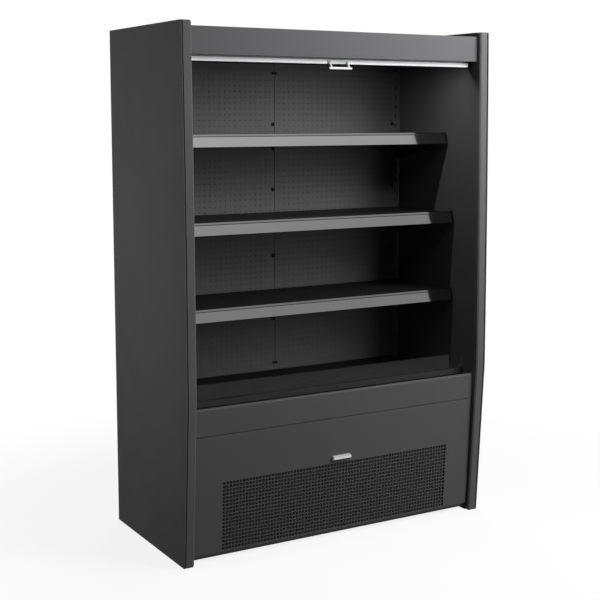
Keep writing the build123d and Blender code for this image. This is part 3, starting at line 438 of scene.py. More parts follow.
class Shader:
    """One node material: adds its nodes and joins their sockets."""

    def __init__(self, name: str) -> None:
        """Starts an empty material with an output.

        Args:
            name: the material's name.
        """
        self.material = bpy.data.materials.new(name)
        self.material.use_nodes = True
        self.tree = self.material.node_tree
        self.tree.nodes.clear()
        self.output = self.tree.nodes.new("ShaderNodeOutputMaterial")
        self.place = self.add("ShaderNodeTexCoord").outputs["Object"]

    def add(self, kind: str, **values: object) -> bpy.types.ShaderNode:
        """Adds a node.

        Args:
            kind: its type.
            values: attributes of the node, or values of its inputs by their names with
                underscores for spaces.

        Returns:
            The node.
        """
        node = self.tree.nodes.new(kind)
        for name, value in values.items():
            if hasattr(node, name):
                setattr(node, name, value)
            else:
                node.inputs[name.replace("_", " ")].default_value = value
        return node

    def join(self, source: bpy.types.NodeSocket, target: bpy.types.NodeSocket) -> None:
        """Joins two sockets."""
        self.tree.links.new(source, target)

    def stretched(self, scale: Point) -> bpy.types.NodeSocket:
        """Object coordinates scaled along each axis.

        Args:
            scale: factor along X, Y and Z.

        Returns:
            The scaled coordinates.
        """
        mapping = self.add("ShaderNodeMapping")
        mapping.inputs["Scale"].default_value = scale
        self.join(self.place, mapping.inputs["Vector"])
        return mapping.outputs["Vector"]

    def noise(
        self, scale: float, detail: float = 2.0, place: bpy.types.NodeSocket | None = None
    ) -> bpy.types.NodeSocket:
        """Noise from 0 to 1.

        Args:
            scale: features per metre.
            detail: how many finer layers it has.
            place: coordinates, if not plain Object ones.

        Returns:
            The noise's factor.
        """
        node = self.add("ShaderNodeTexNoise", Scale=scale, Detail=detail)
        self.join(place or self.place, node.inputs["Vector"])
        return node.outputs["Fac"]

    def spread(self, source: bpy.types.NodeSocket, low: float, high: float) -> bpy.types.NodeSocket:
        """A factor about 0.5 spread out between two values.

        Args:
            source: the factor.
            low: value at the start of NOISE_SPAN.
            high: value at its end.

        Returns:
            The spread value.
        """
        return ranged(self.tree, source, NOISE_SPAN, (low, high))

    def tinted(
        self, node: bpy.types.ShaderNode, factor: bpy.types.NodeSocket, low: Colour, high: Colour
    ) -> bpy.types.NodeSocket:
        """Gives the main shader a colour between two colours.

        Args:
            node: the main shader.
            factor: 0 for the first colour, 1 for the second.
            low: linear colour.
            high: linear colour.

        Returns:
            The mixed colour.
        """
        colour = self.between(factor, low, high)
        self.join(colour, node.inputs["Base Color"])
        return colour

    def between(
        self, factor: bpy.types.NodeSocket, first: Colour, second: Colour
    ) -> bpy.types.NodeSocket:
        """A colour between two colours, by a factor.

        Args:
            factor: 0 for the first, 1 for the second.
            first: linear colour.
            second: linear colour.

        Returns:
            The mixed colour.
        """
        mix = self.add("ShaderNodeMix", data_type="RGBA")
        colours = [socket for socket in mix.inputs if socket.type == "RGBA"]
        colours[0].default_value = (*first, 1.0)
        colours[1].default_value = (*second, 1.0)
        self.join(factor, mix.inputs["Factor"])
        return next(socket for socket in mix.outputs if socket.type == "RGBA")

    def bumped(
        self, height: bpy.types.NodeSocket, depth: float, strength: float
    ) -> bpy.types.NodeSocket:
        """A normal from a height.

        Args:
            height: factor from 0 to 1.
            depth: real height of the relief, in metres.
            strength: share of it that is used.

        Returns:
            The normal.
        """
        node = self.add("ShaderNodeBump", Strength=strength, Distance=depth)
        self.join(height, node.inputs["Height"])
        return node.outputs["Normal"]

    def principled(self, **values: object) -> bpy.types.ShaderNode:
        """Adds the main shader, joined to the output.

        Args:
            values: its inputs by name, with underscores for spaces.

        Returns:
            The shader node.
        """
        node = self.add("ShaderNodeBsdfPrincipled")
        for name, value in values.items():
            node.inputs[name.replace("_", " ")].default_value = value
        self.join(node.outputs["BSDF"], self.output.inputs["Surface"])
        return node


def shade(colour: Colour, factor: float) -> Colour:
    """A colour made darker or lighter by a factor."""
    return tuple(min(1.0, part * factor) for part in colour)


@dataclass(frozen=True)
class Finish:
    """A named finish of one colour, which each kind below makes in its own way."""

    name: str
    colour: Colour

    def shades(self, dark: float, light: float) -> tuple[Colour, Colour]:
        """Returns the colour by a darker and by a lighter factor."""
        return shade(self.colour, dark), shade(self.colour, light)

    def material(self) -> bpy.types.Material:
        """Returns the finished material."""
        raise NotImplementedError


@dataclass(frozen=True)
class Paint(Finish):
    """Powder coat: a mottled colour, an uneven gloss and a fine orange-peel relief."""

    roughness: float = 0.5
    specular: float = 0.08
    mottle: float = 0.05
    clouds: float = 1.7
    gloss_patches: float = 9.0
    gloss_swing: float = 0.04
    grain: float = 650.0
    relief: float = 0.05 * MM
    relief_share: float = 0.35

    def material(self) -> bpy.types.Material:
        """Makes the material.

        Returns:
            The finished material.
        """
        shader = Shader(self.name)
        node = shader.principled(Specular_IOR_Level=self.specular)
        cloud = shader.spread(shader.noise(self.clouds, detail=4.0), 0.0, 1.0)
        shader.tinted(node, cloud, *self.shades(1 - self.mottle, 1 + self.mottle))
        low, high = self.roughness - self.gloss_swing, self.roughness + self.gloss_swing
        gloss = shader.spread(shader.noise(self.gloss_patches, detail=3.0), low, high)
        shader.join(gloss, node.inputs["Roughness"])
        peel = shader.bumped(shader.noise(self.grain), self.relief, self.relief_share)
        shader.join(peel, node.inputs["Normal"])
        return shader.material


@dataclass(frozen=True)
class Brushed(Finish):
    """Metal with fine lines along X, in its gloss and its relief."""

    roughness: float
    metallic: float = 1.0
    contrast: float = 0.05
    lines: float = 1400.0
    drawn: Point = (0.01, 1.0, 1.0)
    gloss_swing: float = 0.15
    relief: float = 0.01 * MM
    relief_share: float = 0.2

    def material(self) -> bpy.types.Material:
        """Makes the material.

        Returns:
            The finished material.
        """
        shader = Shader(self.name)
        node = shader.principled(Metallic=self.metallic)
        streak = shader.noise(self.lines, detail=3.0, place=shader.stretched(self.drawn))
        tones = self.shades(1 - self.contrast, 1 + self.contrast)
        shader.tinted(node, shader.spread(streak, 0.0, 1.0), *tones)
        low, high = self.roughness * (1 - self.gloss_swing), self.roughness * (1 + self.gloss_swing)
        shader.join(shader.spread(streak, low, high), node.inputs["Roughness"])
        relief = shader.bumped(streak, self.relief, self.relief_share)
        shader.join(relief, node.inputs["Normal"])
        return shader.material


@dataclass(frozen=True)
class Moulded(Finish):
    """Moulded plastic: a fine spark-eroded grain and a soft gloss."""

    roughness: float = 0.55
    specular: float = 0.15
    grain: float = 1100.0
    mottle: float = 0.1
    gloss_swing: float = 0.06
    relief: float = 0.06 * MM
    relief_share: float = 0.4

    def material(self) -> bpy.types.Material:
        """Makes the material.

        Returns:
            The finished material.
        """
        shader = Shader(self.name)
        node = shader.principled(Specular_IOR_Level=self.specular)
        grain = shader.noise(self.grain, detail=3.0)
        tones = self.shades(1 - self.mottle, 1 + self.mottle)
        shader.tinted(node, shader.spread(grain, 0.0, 1.0), *tones)
        low, high = self.roughness - self.gloss_swing, self.roughness + self.gloss_swing
        shader.join(shader.spread(grain, low, high), node.inputs["Roughness"])
        relief = shader.bumped(grain, self.relief, self.relief_share)
        shader.join(relief, node.inputs["Normal"])
        return shader.material


@dataclass(frozen=True)
class Zinc(Finish):
    """Galvanised sheet: zinc crystals that differ in tone and gloss."""

    metallic: float = 0.85
    crystals: float = 95.0
    tones: Pair = (0.82, 1.15)
    gloss: Pair = (0.34, 0.5)
    grain: float = 300.0
    relief: float = 0.03 * MM
    relief_share: float = 0.3

    def material(self) -> bpy.types.Material:
        """Makes the material.

        Returns:
            The finished material.
        """
        shader = Shader(self.name)
        node = shader.principled(Metallic=self.metallic)
        crystal = shader.add("ShaderNodeTexVoronoi", Scale=self.crystals)
        shader.join(shader.place, crystal.inputs["Vector"])
        tone = shader.add("ShaderNodeSeparateColor")
        shader.join(crystal.outputs["Color"], tone.inputs["Color"])
        shader.tinted(node, tone.outputs["Red"], *self.shades(*self.tones))
        shader.join(shader.spread(tone.outputs["Green"], *self.gloss), node.inputs["Roughness"])
        relief = shader.bumped(shader.noise(self.grain), self.relief, self.relief_share)
        shader.join(relief, node.inputs["Normal"])
        return shader.material


class Threads(Enum):
    """A cloth's two sets of threads, as the axis along which they lie side by side."""

    WARP = "X"
    WEFT = "Z"


@dataclass(frozen=True)
class Woven(Finish):
    """Coated blind cloth: a plain weave of threads over and under, from two crossed waves."""

    threads: float = 900.0
    waver: float = 0.4
    tones: Pair = (0.8, 1.06)
    roughness: float = 0.62
    specular: float = 0.3
    sheen: float = 0.15
    relief: float = 0.12 * MM
    relief_share: float = 0.6

    def wave(self, shader: Shader, threads: Threads) -> bpy.types.NodeSocket:
        """One set of threads.

        Args:
            shader: the material that they are made in.
            threads: which set.

        Returns:
            Their height, from 0 to 1.
        """
        wave = shader.add("ShaderNodeTexWave", Scale=self.threads / 2, Distortion=self.waver)
        wave.bands_direction = threads.value
        shader.join(shader.place, wave.inputs["Vector"])
        return wave.outputs["Fac"]

    def material(self) -> bpy.types.Material:
        """Makes the material.

        Returns:
            The finished material.
        """
        shader = Shader(self.name)
        node = shader.principled(
            Specular_IOR_Level=self.specular, Roughness=self.roughness, Sheen_Weight=self.sheen
        )
        warp, weft = self.wave(shader, Threads.WARP), self.wave(shader, Threads.WEFT)
        weave = combined(shader.tree, Maths.MAXIMUM, warp, weft)
        shader.tinted(node, weave, *self.shades(*self.tones))
        relief = shader.bumped(weave, self.relief, self.relief_share)
        shader.join(relief, node.inputs["Normal"])
        return shader.material


@dataclass(frozen=True)
class Opal(Finish):
    """The lamp's opal cover, which glows evenly but for a faint unevenness."""

    glow: float
    clouds: float = 12.0
    cloud_tone: float = 0.96
    roughness: float = 0.35

    def material(self) -> bpy.types.Material:
        """Makes the material.

        Returns:
            The finished material.
        """
        shader = Shader(self.name)
        node = shader.principled(Roughness=self.roughness, Emission_Strength=self.glow)
        cloud = shader.spread(shader.noise(self.clouds), 0.0, 1.0)
        colour = shader.tinted(node, cloud, *self.shades(self.cloud_tone, 1.0))
        shader.join(colour, node.inputs["Emission Color"])
        return shader.material


@dataclass(frozen=True)
class Acrylic(Finish):
    """Clear acrylic with faint wiping marks in its gloss."""

    index: float = 1.49
    wipes: float = 14.0
    wiped: Point = (0.25, 1.0, 1.0)
    wipe_tone: float = 0.985
    gloss: Pair = (0.01, 0.05)

    def material(self) -> bpy.types.Material:
        """Makes the material.

        Returns:
            The finished material.
        """
        shader = Shader(self.name)
        node = shader.principled(IOR=self.index, Transmission_Weight=1.0)
        wipes = shader.noise(self.wipes, detail=4.0, place=shader.stretched(self.wiped))
        shader.tinted(node, shader.spread(wipes, 0.0, 1.0), *self.shades(self.wipe_tone, 1.0))
        shader.join(shader.spread(wipes, *self.gloss), node.inputs["Roughness"])
        return shader.material


FINISHES: tuple[Finish, ...] = (
    Paint("cabinet_paint", (0.077, 0.077, 0.079)),
    Paint("trim_paint", (0.091, 0.091, 0.094), roughness=0.42),
    Paint("interior_paint", (0.094, 0.094, 0.095), specular=0.05),
    Paint("shelf_paint", (0.0095, 0.0095, 0.0095)),
    # A darker copy of the cabinet paint: painted shade on the front ledge's top face.
    Paint("ledge_shaded_paint", (0.03, 0.03, 0.03)),
    Brushed("rail_metal", (0.31, 0.31, 0.315), roughness=0.08),
    Moulded("dark_plastic", (0.007, 0.007, 0.007)),
    Brushed("blind_aluminium", (0.93, 0.93, 0.94), roughness=0.3, metallic=0.05, contrast=0.02),
    Woven("blind_cloth", (0.36, 0.365, 0.37)),
    Brushed("handle_metal", (0.82, 0.82, 0.82), roughness=0.2, metallic=0.5),
    Opal("lamp_diffuser", (1.0, 0.98, 0.95), glow=1.5),
    Acrylic("clear_acrylic", (0.9, 0.905, 0.905), index=1.32),
    Zinc("galvanised", (0.16, 0.165, 0.17)),
    Brushed("coil_metal", (0.03, 0.03, 0.03), roughness=0.45, metallic=0.3),
    Paint("machine_black", (0.012, 0.012, 0.012), roughness=0.3, specular=0.5),
    Moulded("fan_plastic", (0.03, 0.03, 0.03)),
    Brushed("foot_zinc", (0.5, 0.5, 0.5), roughness=0.35),
)
MATERIALS = {finish.name: finish.material() for finish in FINISHES}
# Imported nodes that take another finish than the one of their slot. The front ledge takes a darker
# copy of the cabinet paint, painted shade on its top face.
OWN_FINISHES = {"front_ledge": "ledge_shaded_paint"}


# ------------------------------------------------------------ sub-assemblies


@dataclass(frozen=True)
class Box:
    """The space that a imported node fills, in metres."""

    low: Vector
    high: Vector

    @classmethod
    def of(cls, node: str) -> "Box":
        """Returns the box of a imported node."""
        return cls(*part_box(node))

    @property
    def middle(self) -> Vector:
        """Returns the box's middle."""
        return (self.low + self.high) / 2


def dressed(
    shell: Shell, name: str, slot: str, body: str, stands_for: tuple[str, ...] = ()
) -> bpy.types.Object:
    """Makes a piece with its finish, sets what it rides on and reports it.

    Args:
        shell: its shape.
        name: its name.
        slot: the record's material slot that it takes its finish from.
        body: the body that it moves with.
        stands_for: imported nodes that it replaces.

    Returns:
        The piece.
    """
    made = shell.piece(name, MATERIALS[slot])
    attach(made, body)
    if stands_for:
        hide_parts(*stands_for)
    log.info("%s: %d faces, rides on %s", name, len(made.data.polygons), body)
    return made


class Side(Enum):
    """One of the two punched panels, as the sign of its X."""

    LEFT = -1
    RIGHT = 1


@dataclass
class BackWall:
    """The two punched panels behind the shelves and the fixings along their seam."""

    pitch: float = 23 * MM
    hole: float = 4.5 * MM
    sheet: float = 1.5 * MM
    border: float = 8 * MM
    fold: float = 9 * MM
    fixing_radii: Pair = (6 * MM, 8.5 * MM)
    fixing_height: float = 3 * MM
    fixing_profile: tuple[Pair, ...] = ((1.0, 0.0), (1.0, 0.35), (0.8, 0.8), (0.45, 1.0))
    fixing_sides: int = 14
    fixing_offset: float = 7 * MM
    fixing_border: float = 8 * MM
    pair_heights: tuple[float, ...] = (1796 * MM, 598 * MM)
    single_heights: tuple[float, ...] = (1590 * MM, 1491 * MM, 1323 * MM, 1050 * MM, 787 * MM)

    def panel(self, side: Side) -> None:
        """Builds one panel: the punched face, the fold along the seam and the lip at its foot.

        Args:
            side: which of the two.
        """
        word = side.name.lower()
        node = f"{word}_duct_panel"
        box = Box.of(node)
        width = box.high.x - box.low.x - 2 * self.border
        height = box.high.z - box.low.z - 2 * self.border
        columns = int(width / self.pitch)
        rows = int(height / self.pitch)
        centre_x = box.middle.x + (np.arange(columns) - (columns - 1) / 2) * self.pitch
        centre_z = box.middle.z + (np.arange(rows) - (rows - 1) / 2) * self.pitch
        across = cell_lines(centre_x, box.low.x, box.high.x)
        up = cell_lines(centre_z, box.low.z, box.high.z)
        face_y = box.high.y - self.sheet
        face = perforated(across, up, (self.hole, self.hole), Hole.ROUND, self.sheet)
        face = face.placed(lambda points: points + np.array([0, face_y, 0]))
        lip = block(
            (box.low.x, box.low.y, box.low.z), (box.high.x, face_y, box.low.z + self.sheet)
        )
        seam_x = box.high.x if side is Side.LEFT else box.low.x
        inward = side.value * self.sheet
        seam = block(
            (min(seam_x, seam_x + inward), box.high.y, box.low.z + 2 * self.sheet),
            (max(seam_x, seam_x + inward), box.high.y + self.fold, box.high.z - self.sheet),
        )
        panel = joined([face, lip, seam])
        dressed(panel, f"back_panel_{word}", "interior_paint", "cabinet", (node,))

    def fixings(self) -> None:
        """Builds the button-headed fixings: small pairs on the seam, and larger ones in columns.

        A fixing is its profile, in shares of its radius and height, turned about its axis.
        """
        face_y = Box.of("left_duct_panel").high.y - self.sheet
        pairs = [(s * self.fixing_offset, face_y, z) for z in self.pair_heights for s in (-1, 1)]
        left = Box.of("left_duct_panel").low.x + self.fixing_border
        right = Box.of("right_duct_panel").high.x - self.fixing_border
        columns = (left, -self.fixing_offset, right)
        singles = [(x, face_y, z) for z in self.single_heights for x in columns]
        rows = []
        for radius, places in zip(self.fixing_radii, (pairs, singles)):
            profile = np.array(self.fixing_profile) * (radius, self.fixing_height)
            button = turned(profile, self.fixing_sides, (0, -1, 0))
            rows.append(button.copied_to(np.array(places)))
        dressed(joined(rows), "back_panel_fixings", "dark_plastic", "cabinet")

    def build(self) -> None:
        """Builds the whole back wall."""
        for side in Side:
            self.panel(side)
        self.fixings()


@dataclass
class AirCells:
    """The two plates of air cells: the outlet under the canopy and the return in the ledge."""

    pitch: float = 8.4 * MM
    web: float = 0.9 * MM

    def plate(self, node: str, name: str, form: Hole) -> None:
        """Builds one plate of upright cells.

        The punched sheet is worked out standing up, then laid down: its height becomes depth and
        its thickness becomes height.

        Args:
            node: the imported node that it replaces.
            name: the piece's name.
            form: the cells' form.
        """
        box = Box.of(node)
        width = box.high.x - box.low.x
        depth = box.high.y - box.low.y
        rows = int(depth / self.pitch)
        columns = int(width / self.pitch)
        centre_x = box.middle.x + (np.arange(columns) - (columns - 1) / 2) * self.pitch
        centre_y = box.middle.y + (np.arange(rows) - (rows - 1) / 2) * self.pitch
        across = cell_lines(centre_x, box.low.x, box.high.x)
        back = cell_lines(centre_y, box.low.y, box.high.y)
        size = self.pitch - self.web
        plate = perforated(across, back, (size, size), form, box.high.z - box.low.z)
        top = box.high.z

        def laid(points: np.ndarray) -> np.ndarray:
            """Swaps height for depth, with the plate's front face up."""
            return np.column_stack([points[:, 0], points[:, 2], top - points[:, 1]])

        dressed(plate.placed(laid).outward(), name, "dark_plastic", "cabinet", (node,))

    def build(self) -> None:
        """Builds both plates."""
        self.plate("outlet_honeycomb", "outlet_cells", Hole.EASED)
        self.plate("return_air_grille", "return_cells", Hole.SQUARE)


@dataclass
class GrilleField:
    """The field of square holes in the leaning lower panel, and the filter mat behind it, whose
    near-black finish is partly painted shade behind the holes.
    """

    pitch: float = 13.5 * MM
    bar: float = 3.1 * MM
    sheet: float = 1.5 * MM
    mat: float = 3 * MM
    gap: float = 7 * MM
    frame: float = 8 * MM

    def filter_and_shade_mat(self, box: Box) -> Shell:
        """The filter mat with its shallow frame, standing upright; its dark finish paints the shade
        behind the holes.

        Args:
            box: the space of the field.

        Returns:
            A closed shell whose front is at the depth of the sheet's back.
        """
        front = self.sheet
        back = front + self.gap + self.mat
        inner_x, inner_z = (box.low.x, box.high.x), (box.low.z, box.high.z)
        outer_x = (inner_x[0] - self.frame, inner_x[1] + self.frame)
        outer_z = (inner_z[0] - self.frame, inner_z[1] + self.frame)
        mat = block((inner_x[0], back - self.mat, inner_z[0]), (inner_x[1], back, inner_z[1]))
        foot = block((outer_x[0], front, outer_z[0]), (outer_x[1], back, inner_z[0]))
        head = block((outer_x[0], front, inner_z[1]), (outer_x[1], back, outer_z[1]))
        left = block((outer_x[0], front, inner_z[0]), (inner_x[0], back, inner_z[1]))
        right = block((inner_x[1], front, inner_z[0]), (outer_x[1], back, inner_z[1]))
        return joined([mat, foot, head, left, right])

    def build(self) -> None:
        """Builds the field and its mat: upright sheets moved back by the lean as they go down."""
        box = Box.of("grille_mesh")
        width, height = box.high.x - box.low.x, box.high.z - box.low.z
        columns, rows = round(width / self.pitch), round(height / self.pitch)
        step_x, step_z = width / columns, height / rows
        centre_x = box.low.x + (np.arange(columns) + 0.5) * step_x
        centre_z = box.low.z + (np.arange(rows) + 0.5) * step_z
        across = cell_lines(centre_x, box.low.x, box.high.x)
        up = cell_lines(centre_z, box.low.z, box.high.z)
        hole = (step_x - self.bar, step_z - self.bar)
        field_sheet = perforated(across, up, hole, Hole.SQUARE, self.sheet)
        front_top = box.low.y
        lean = (box.high.y - self.sheet - front_top) / height

        def leaned(points: np.ndarray) -> np.ndarray:
            """Moves each point back by its distance below the field's top times the lean."""
            moved = points.copy()
            moved[:, 1] += front_top + (box.high.z - points[:, 2]) * lean
            return moved

        ride, mesh = "grille_panel", ("grille_mesh",)
        dressed(field_sheet.placed(leaned), "grille_field", "cabinet_paint", ride, mesh)
        # A real filter mat, in a near-black finish that is painted shade behind the holes.
        dressed(self.filter_and_shade_mat(box).placed(leaned), "grille_filter_and_shade", "fan_plastic", ride)
        log.info("grille field: %d x %d holes", columns, rows)


@dataclass
class NightBlind:
    """The blind's cloth: a tight roll on its tube, and the strip that hangs to the bar."""

    cloth: float = 0.28 * MM
    turns: int = 14
    steps_per_turn: int = 26
    strip_rows: int = 48
    strip_columns: int = 24

    def roll(self) -> float:
        """Builds the roll: a spiral whose radius grows evenly with its angle.

        Returns:
            The length of cloth on the roll.
        """
        box = Box.of("blind_roll")
        tube = Box.of("blind_roller_tube")
        outer = (box.high.z - box.low.z) / 2 - self.cloth
        inner = (tube.high.z - tube.low.z) / 2 + self.cloth / 2
        angle = np.linspace(0, TURN * self.turns, self.turns * self.steps_per_turn + 1)
        radius = inner + (outer - inner) * angle / angle[-1]
        middle = box.middle
        across = np.linspace(box.low.x, box.high.x, 3)
        grid = np.zeros((len(angle), len(across), 3))
        grid[:, :, 0] = across
        grid[:, :, 1] = (middle.y + radius * np.cos(angle))[:, None]
        grid[:, :, 2] = (middle.z + radius * np.sin(angle))[:, None]
        shift = np.zeros_like(grid)
        shift[:, :, 1] = (self.cloth * np.cos(angle))[:, None]
        shift[:, :, 2] = (self.cloth * np.sin(angle))[:, None]
        length = float(radius.mean() * angle[-1])
        cloth = thickened(grid, shift)
        stands_for = ("blind_roll",)
        made = dressed(cloth, "blind_wound_cloth", "blind_cloth", "blind_roller", stands_for)
        return length

    def strip(self) -> None:
        """Builds the hanging strip."""
        box = Box.of("blind_cloth")
        rows = np.linspace(box.high.z, box.low.z, self.strip_rows)
        columns = np.linspace(box.low.x, box.high.x, self.strip_columns)
        grid = np.zeros((len(rows), len(columns), 3))
        grid[:, :, 0] = columns
        grid[:, :, 1] = box.middle.y
        grid[:, :, 2] = rows[:, None]
        made = thickened(grid, np.array([0, self.cloth, 0])).piece(
            "blind_hanging_cloth", MATERIALS["blind_cloth"]
        )
        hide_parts("blind_cloth")
        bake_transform(made)
        log.info("blind_hanging_cloth: bends between cabinet and blind_bar")

    def build(self) -> None:
        """Builds the roll and the strip."""
        length = self.roll()
        self.strip()
        log.info("cloth on the roll: %.2f m", length)


@dataclass
class RailGrooveShade:
    """A near-black strip in the groove along each shelf's ticket rail: painted shade where the
    groove's shadow falls.
    """

    shelves: int = 3
    low: float = 36.5 * MM
    high: float = 39.0 * MM
    face: float = 8.8 * MM
    lean: float = 0.8 * MM
    root: float = 2.4 * MM

    def build(self) -> None:
        """Builds one strip a shelf: the groove's section carried along the rail."""
        for n in range(1, self.shelves + 1):
            box = Box.of(f"shelf_{n}_ticket_rail")
            front, low, high = box.low.y + self.face, box.low.z + self.low, box.low.z + self.high
            section = np.array(
                [
                    (front, low),
                    (front + self.root, low),
                    (front + self.root, high),
                    (front + self.lean, high),
                ]
            )
            strip = swept(section, box.low.x, box.high.x)
            # The strip's dark finish is painted shade in the groove.
            dressed(strip, f"shelf_{n}_rail_groove_shade", "dark_plastic", f"shelf_{n}")


def dress_packed_nodes() -> None:
    """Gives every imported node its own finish, or else the finish of its slot."""
    for row in frame["record"]["subparts"]:
        node = frame["nodes"][row["node"]]
        slot = OWN_FINISHES.get(row["node"], row["material_slot"])
        node.data.materials.clear()
        node.data.materials.append(MATERIALS[slot])
    log.info("%d packed nodes dressed", len(frame["nodes"]))


# ---------------------------------------------------------------- studio


class Seen(Enum):
    """Which rays see the white surroundings in place of the plain light."""

    CAMERA = "Is Camera Ray"
    GLOSSY = "Is Glossy Ray"
    TRANSMISSION = "Is Transmission Ray"


@dataclass(frozen=True)
class Lamp:
    """A soft square lamp."""

    name: str
    place: Point
    aim: Point
    size: Pair
    power: float

    def build(self) -> None:
        """Adds the lamp, turned towards its aim."""
        light = bpy.data.lights.new(self.name, "AREA")
        light.shape = "RECTANGLE"
        light.size, light.size_y = self.size
        light.energy = self.power
        made = bpy.data.objects.new(self.name, light)
        made.location = self.place
        direction = Vector(self.aim) - Vector(self.place)
        made.rotation_euler = direction.to_track_quat("-Z", "Y").to_euler()
        made.visible_camera = False
        made.visible_glossy = False
        bpy.context.scene.collection.objects.link(made)
        log.info("lamp %s: %.0f W", self.name, self.power)


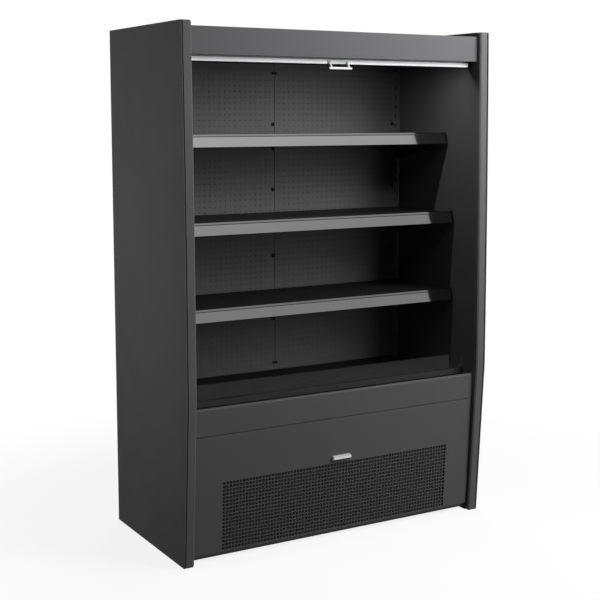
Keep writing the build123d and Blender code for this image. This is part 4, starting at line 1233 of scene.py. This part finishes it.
@dataclass
class Studio:
    """A pale floor, plain soft light and the camera at the photograph's viewing angle."""

    ambient: float = 0.06
    mirror_rise: Pair = (0.1, 0.25)
    mirror_levels: Pair = (0.35, 0.6)
    mirror_crown: Pair = (0.27, 0.42)
    mirror_gain: float = 0.6
    mirror_floor: float = 0.45
    floor_radius: float = 9.0
    floor_sides: int = 64
    floor_fade: Pair = (0.8, 2.2)
    floor_shares: Pair = (0.85, 1.0)
    floor_colour: Colour = (0.82, 0.82, 0.82)
    floor_bounce: Colour = (0.06, 0.06, 0.06)
    camera_place: Point = (-2.4028, -4.0963, 1.6276)
    camera_turn: float = 30.2907
    camera_tilt: float = 7.0835
    camera_lens: float = 71.99
    camera_sensor: float = 36.0
    camera_shift: float = -0.06
    lamps: list[Lamp] = field(
        default_factory=lambda: [
            Lamp("key", (1.6, -2.7, 2.7), (0.3, -0.3, 1.3), (1.0, 1.0), 57.0),
            Lamp("overhead", (0.9, -1.3, 2.45), (0.4, -0.3, 1.4), (1.5, 0.5), 32.0),
            Lamp("low", (2.1, -3.3, 1.6), (0.0, -0.3, 1.1), (2.2, 1.5), 54.0),
            Lamp("side", (-2.1, 0.2, 1.3), (-0.66, 0.2, 1.2), (0.8, 0.8), 12.0),
            Lamp("rear", (1.6, 3.4, 2.6), (0.0, 0.3, 1.1), (2.0, 2.0), 70.0),
        ]
    )
    strip_power: float = 3.1
    strip_length: float = 1.0
    strip_gap: float = 1 * MM
    strip_nudge: float = 0.1 * MM

    def seen_by(self, tree: bpy.types.NodeTree) -> bpy.types.NodeSocket:
        """A factor that is 1 for camera, glossy and transmission rays.

        Args:
            tree: the node tree that it is made in.

        Returns:
            The factor.
        """
        path = tree.nodes.new("ShaderNodeLightPath")
        total = path.outputs[Seen.CAMERA.value]
        for kind in (Seen.GLOSSY, Seen.TRANSMISSION):
            total = combined(tree, Maths.MAXIMUM, total, path.outputs[kind.value])
        return total

    def mirrored(self, tree: bpy.types.NodeTree) -> bpy.types.NodeSocket:
        """The level that polished pieces mirror: it rises from the horizon in two smooth steps.

        Args:
            tree: the world's node tree.

        Returns:
            The level.
        """
        direction = tree.nodes.new("ShaderNodeTexCoord").outputs["Generated"]
        split = tree.nodes.new("ShaderNodeSeparateXYZ")
        tree.links.new(direction, split.inputs["Vector"])
        height = split.outputs["Z"]
        rise = ranged(tree, height, self.mirror_rise, self.mirror_levels, smooth=True)
        crown = ranged(tree, height, self.mirror_crown, (0.0, self.mirror_gain), smooth=True)
        return combined(tree, Maths.ADD, rise, crown)

    def world(self) -> None:
        """Makes the surroundings: white to look at, softer in mirrors, and a faint plain light."""
        world = bpy.data.worlds.new("studio_world")
        bpy.context.scene.world = world
        world.use_nodes = True
        tree = world.node_tree
        tree.nodes.clear()
        output = tree.nodes.new("ShaderNodeOutputWorld")
        path = tree.nodes.new("ShaderNodeLightPath")
        strength = tree.nodes.new("ShaderNodeMix")
        strength.data_type = "FLOAT"
        strength.inputs["B"].default_value = 1.0
        tree.links.new(path.outputs[Seen.CAMERA.value], strength.inputs["Factor"])
        tree.links.new(self.mirrored(tree), strength.inputs["A"])
        white = tree.nodes.new("ShaderNodeBackground")
        tree.links.new(strength.outputs["Result"], white.inputs["Strength"])
        plain = tree.nodes.new("ShaderNodeBackground")
        plain.inputs["Strength"].default_value = self.ambient
        for background in (plain, white):
            background.inputs["Color"].default_value = (1, 1, 1, 1)
        mix = tree.nodes.new("ShaderNodeMixShader")
        tree.links.new(self.seen_by(tree), mix.inputs["Fac"])
        tree.links.new(plain.outputs["Background"], mix.inputs[1])
        tree.links.new(white.outputs["Background"], mix.inputs[2])
        tree.links.new(mix.outputs["Shader"], output.inputs["Surface"])

    def floor(self) -> None:
        """Makes the floor: pale, white to look at far off, with the object's shadow near it."""
        sides = np.arange(self.floor_sides)
        angle = sides * TURN / self.floor_sides
        ring = np.column_stack([np.cos(angle), np.sin(angle), np.zeros_like(angle)])
        shell = Shell(self.floor_radius * ring, [sides[None, :]])
        shader = Shader("studio_floor")
        tree = shader.tree
        camera = shader.add("ShaderNodeLightPath").outputs[Seen.CAMERA.value]
        diffuse = shader.add("ShaderNodeBsdfDiffuse")
        tone = shader.between(camera, self.floor_bounce, self.floor_colour)
        shader.join(tone, diffuse.inputs["Color"])
        glow = shader.add("ShaderNodeEmission")
        level = ranged(tree, camera, (0.0, 1.0), (self.mirror_floor, 1.0), smooth=True)
        shader.join(level, glow.inputs["Strength"])
        distance = shader.add("ShaderNodeVectorMath", operation="LENGTH")
        shader.join(shader.place, distance.inputs[0])
        metres = distance.outputs["Value"]
        far = ranged(tree, metres, self.floor_fade, self.floor_shares, smooth=True)
        mix = shader.add("ShaderNodeMixShader")
        share = combined(tree, Maths.MULTIPLY, far, self.seen_by(tree))
        shader.join(share, mix.inputs["Fac"])
        shader.join(diffuse.outputs["BSDF"], mix.inputs[1])
        shader.join(glow.outputs["Emission"], mix.inputs[2])
        shader.join(mix.outputs["Shader"], shader.output.inputs["Surface"])
        shell.piece("studio_floor", shader.material)

    def camera(self) -> None:
        """Makes the camera: level, turned and tilted, then shifted."""
        data = bpy.data.cameras.new("camera")
        data.lens = self.camera_lens
        data.sensor_width = self.camera_sensor
        data.shift_y = self.camera_shift
        made = bpy.data.objects.new("camera", data)
        made.location = self.camera_place
        level = Quaternion((1, 0, 0), math.radians(90 - self.camera_tilt))
        turn = Quaternion((0, 0, 1), -math.radians(self.camera_turn))
        made.rotation_mode = "QUATERNION"
        made.rotation_quaternion = turn @ level
        bpy.context.scene.collection.objects.link(made)
        bpy.context.scene.camera = made

    def strip_light(self) -> None:
        """Makes the light that the lamp's cover throws down into the display space.

        It aims at the floor under it, nudged back so that its turn about its axis is settled.
        """
        box = Box.of("light_diffuser")
        x, y, z = box.middle.x, box.middle.y, box.low.z
        place, below = (x, y, z - self.strip_gap), (x, y + self.strip_nudge, z - 1)
        size = (self.strip_length, box.high.y - box.low.y - 2 * self.strip_gap)
        Lamp("strip", place, below, size, self.strip_power).build()

    def build(self) -> None:
        """Makes the whole studio."""
        self.world()
        self.floor()
        for lamp in self.lamps:
            lamp.build()
        self.strip_light()
        self.camera()
        bpy.context.scene.view_settings.view_transform = "Standard"


def main() -> None:
    """Builds every sub-assembly, then the studio."""
    logging.basicConfig(level=logging.INFO, format="%(name)s %(message)s")
    dress_packed_nodes()
    BackWall().build()
    AirCells().build()
    GrilleField().build()
    RailGrooveShade().build()
    NightBlind().build()
    Studio().build()


if __name__ == "__main__":
    main()
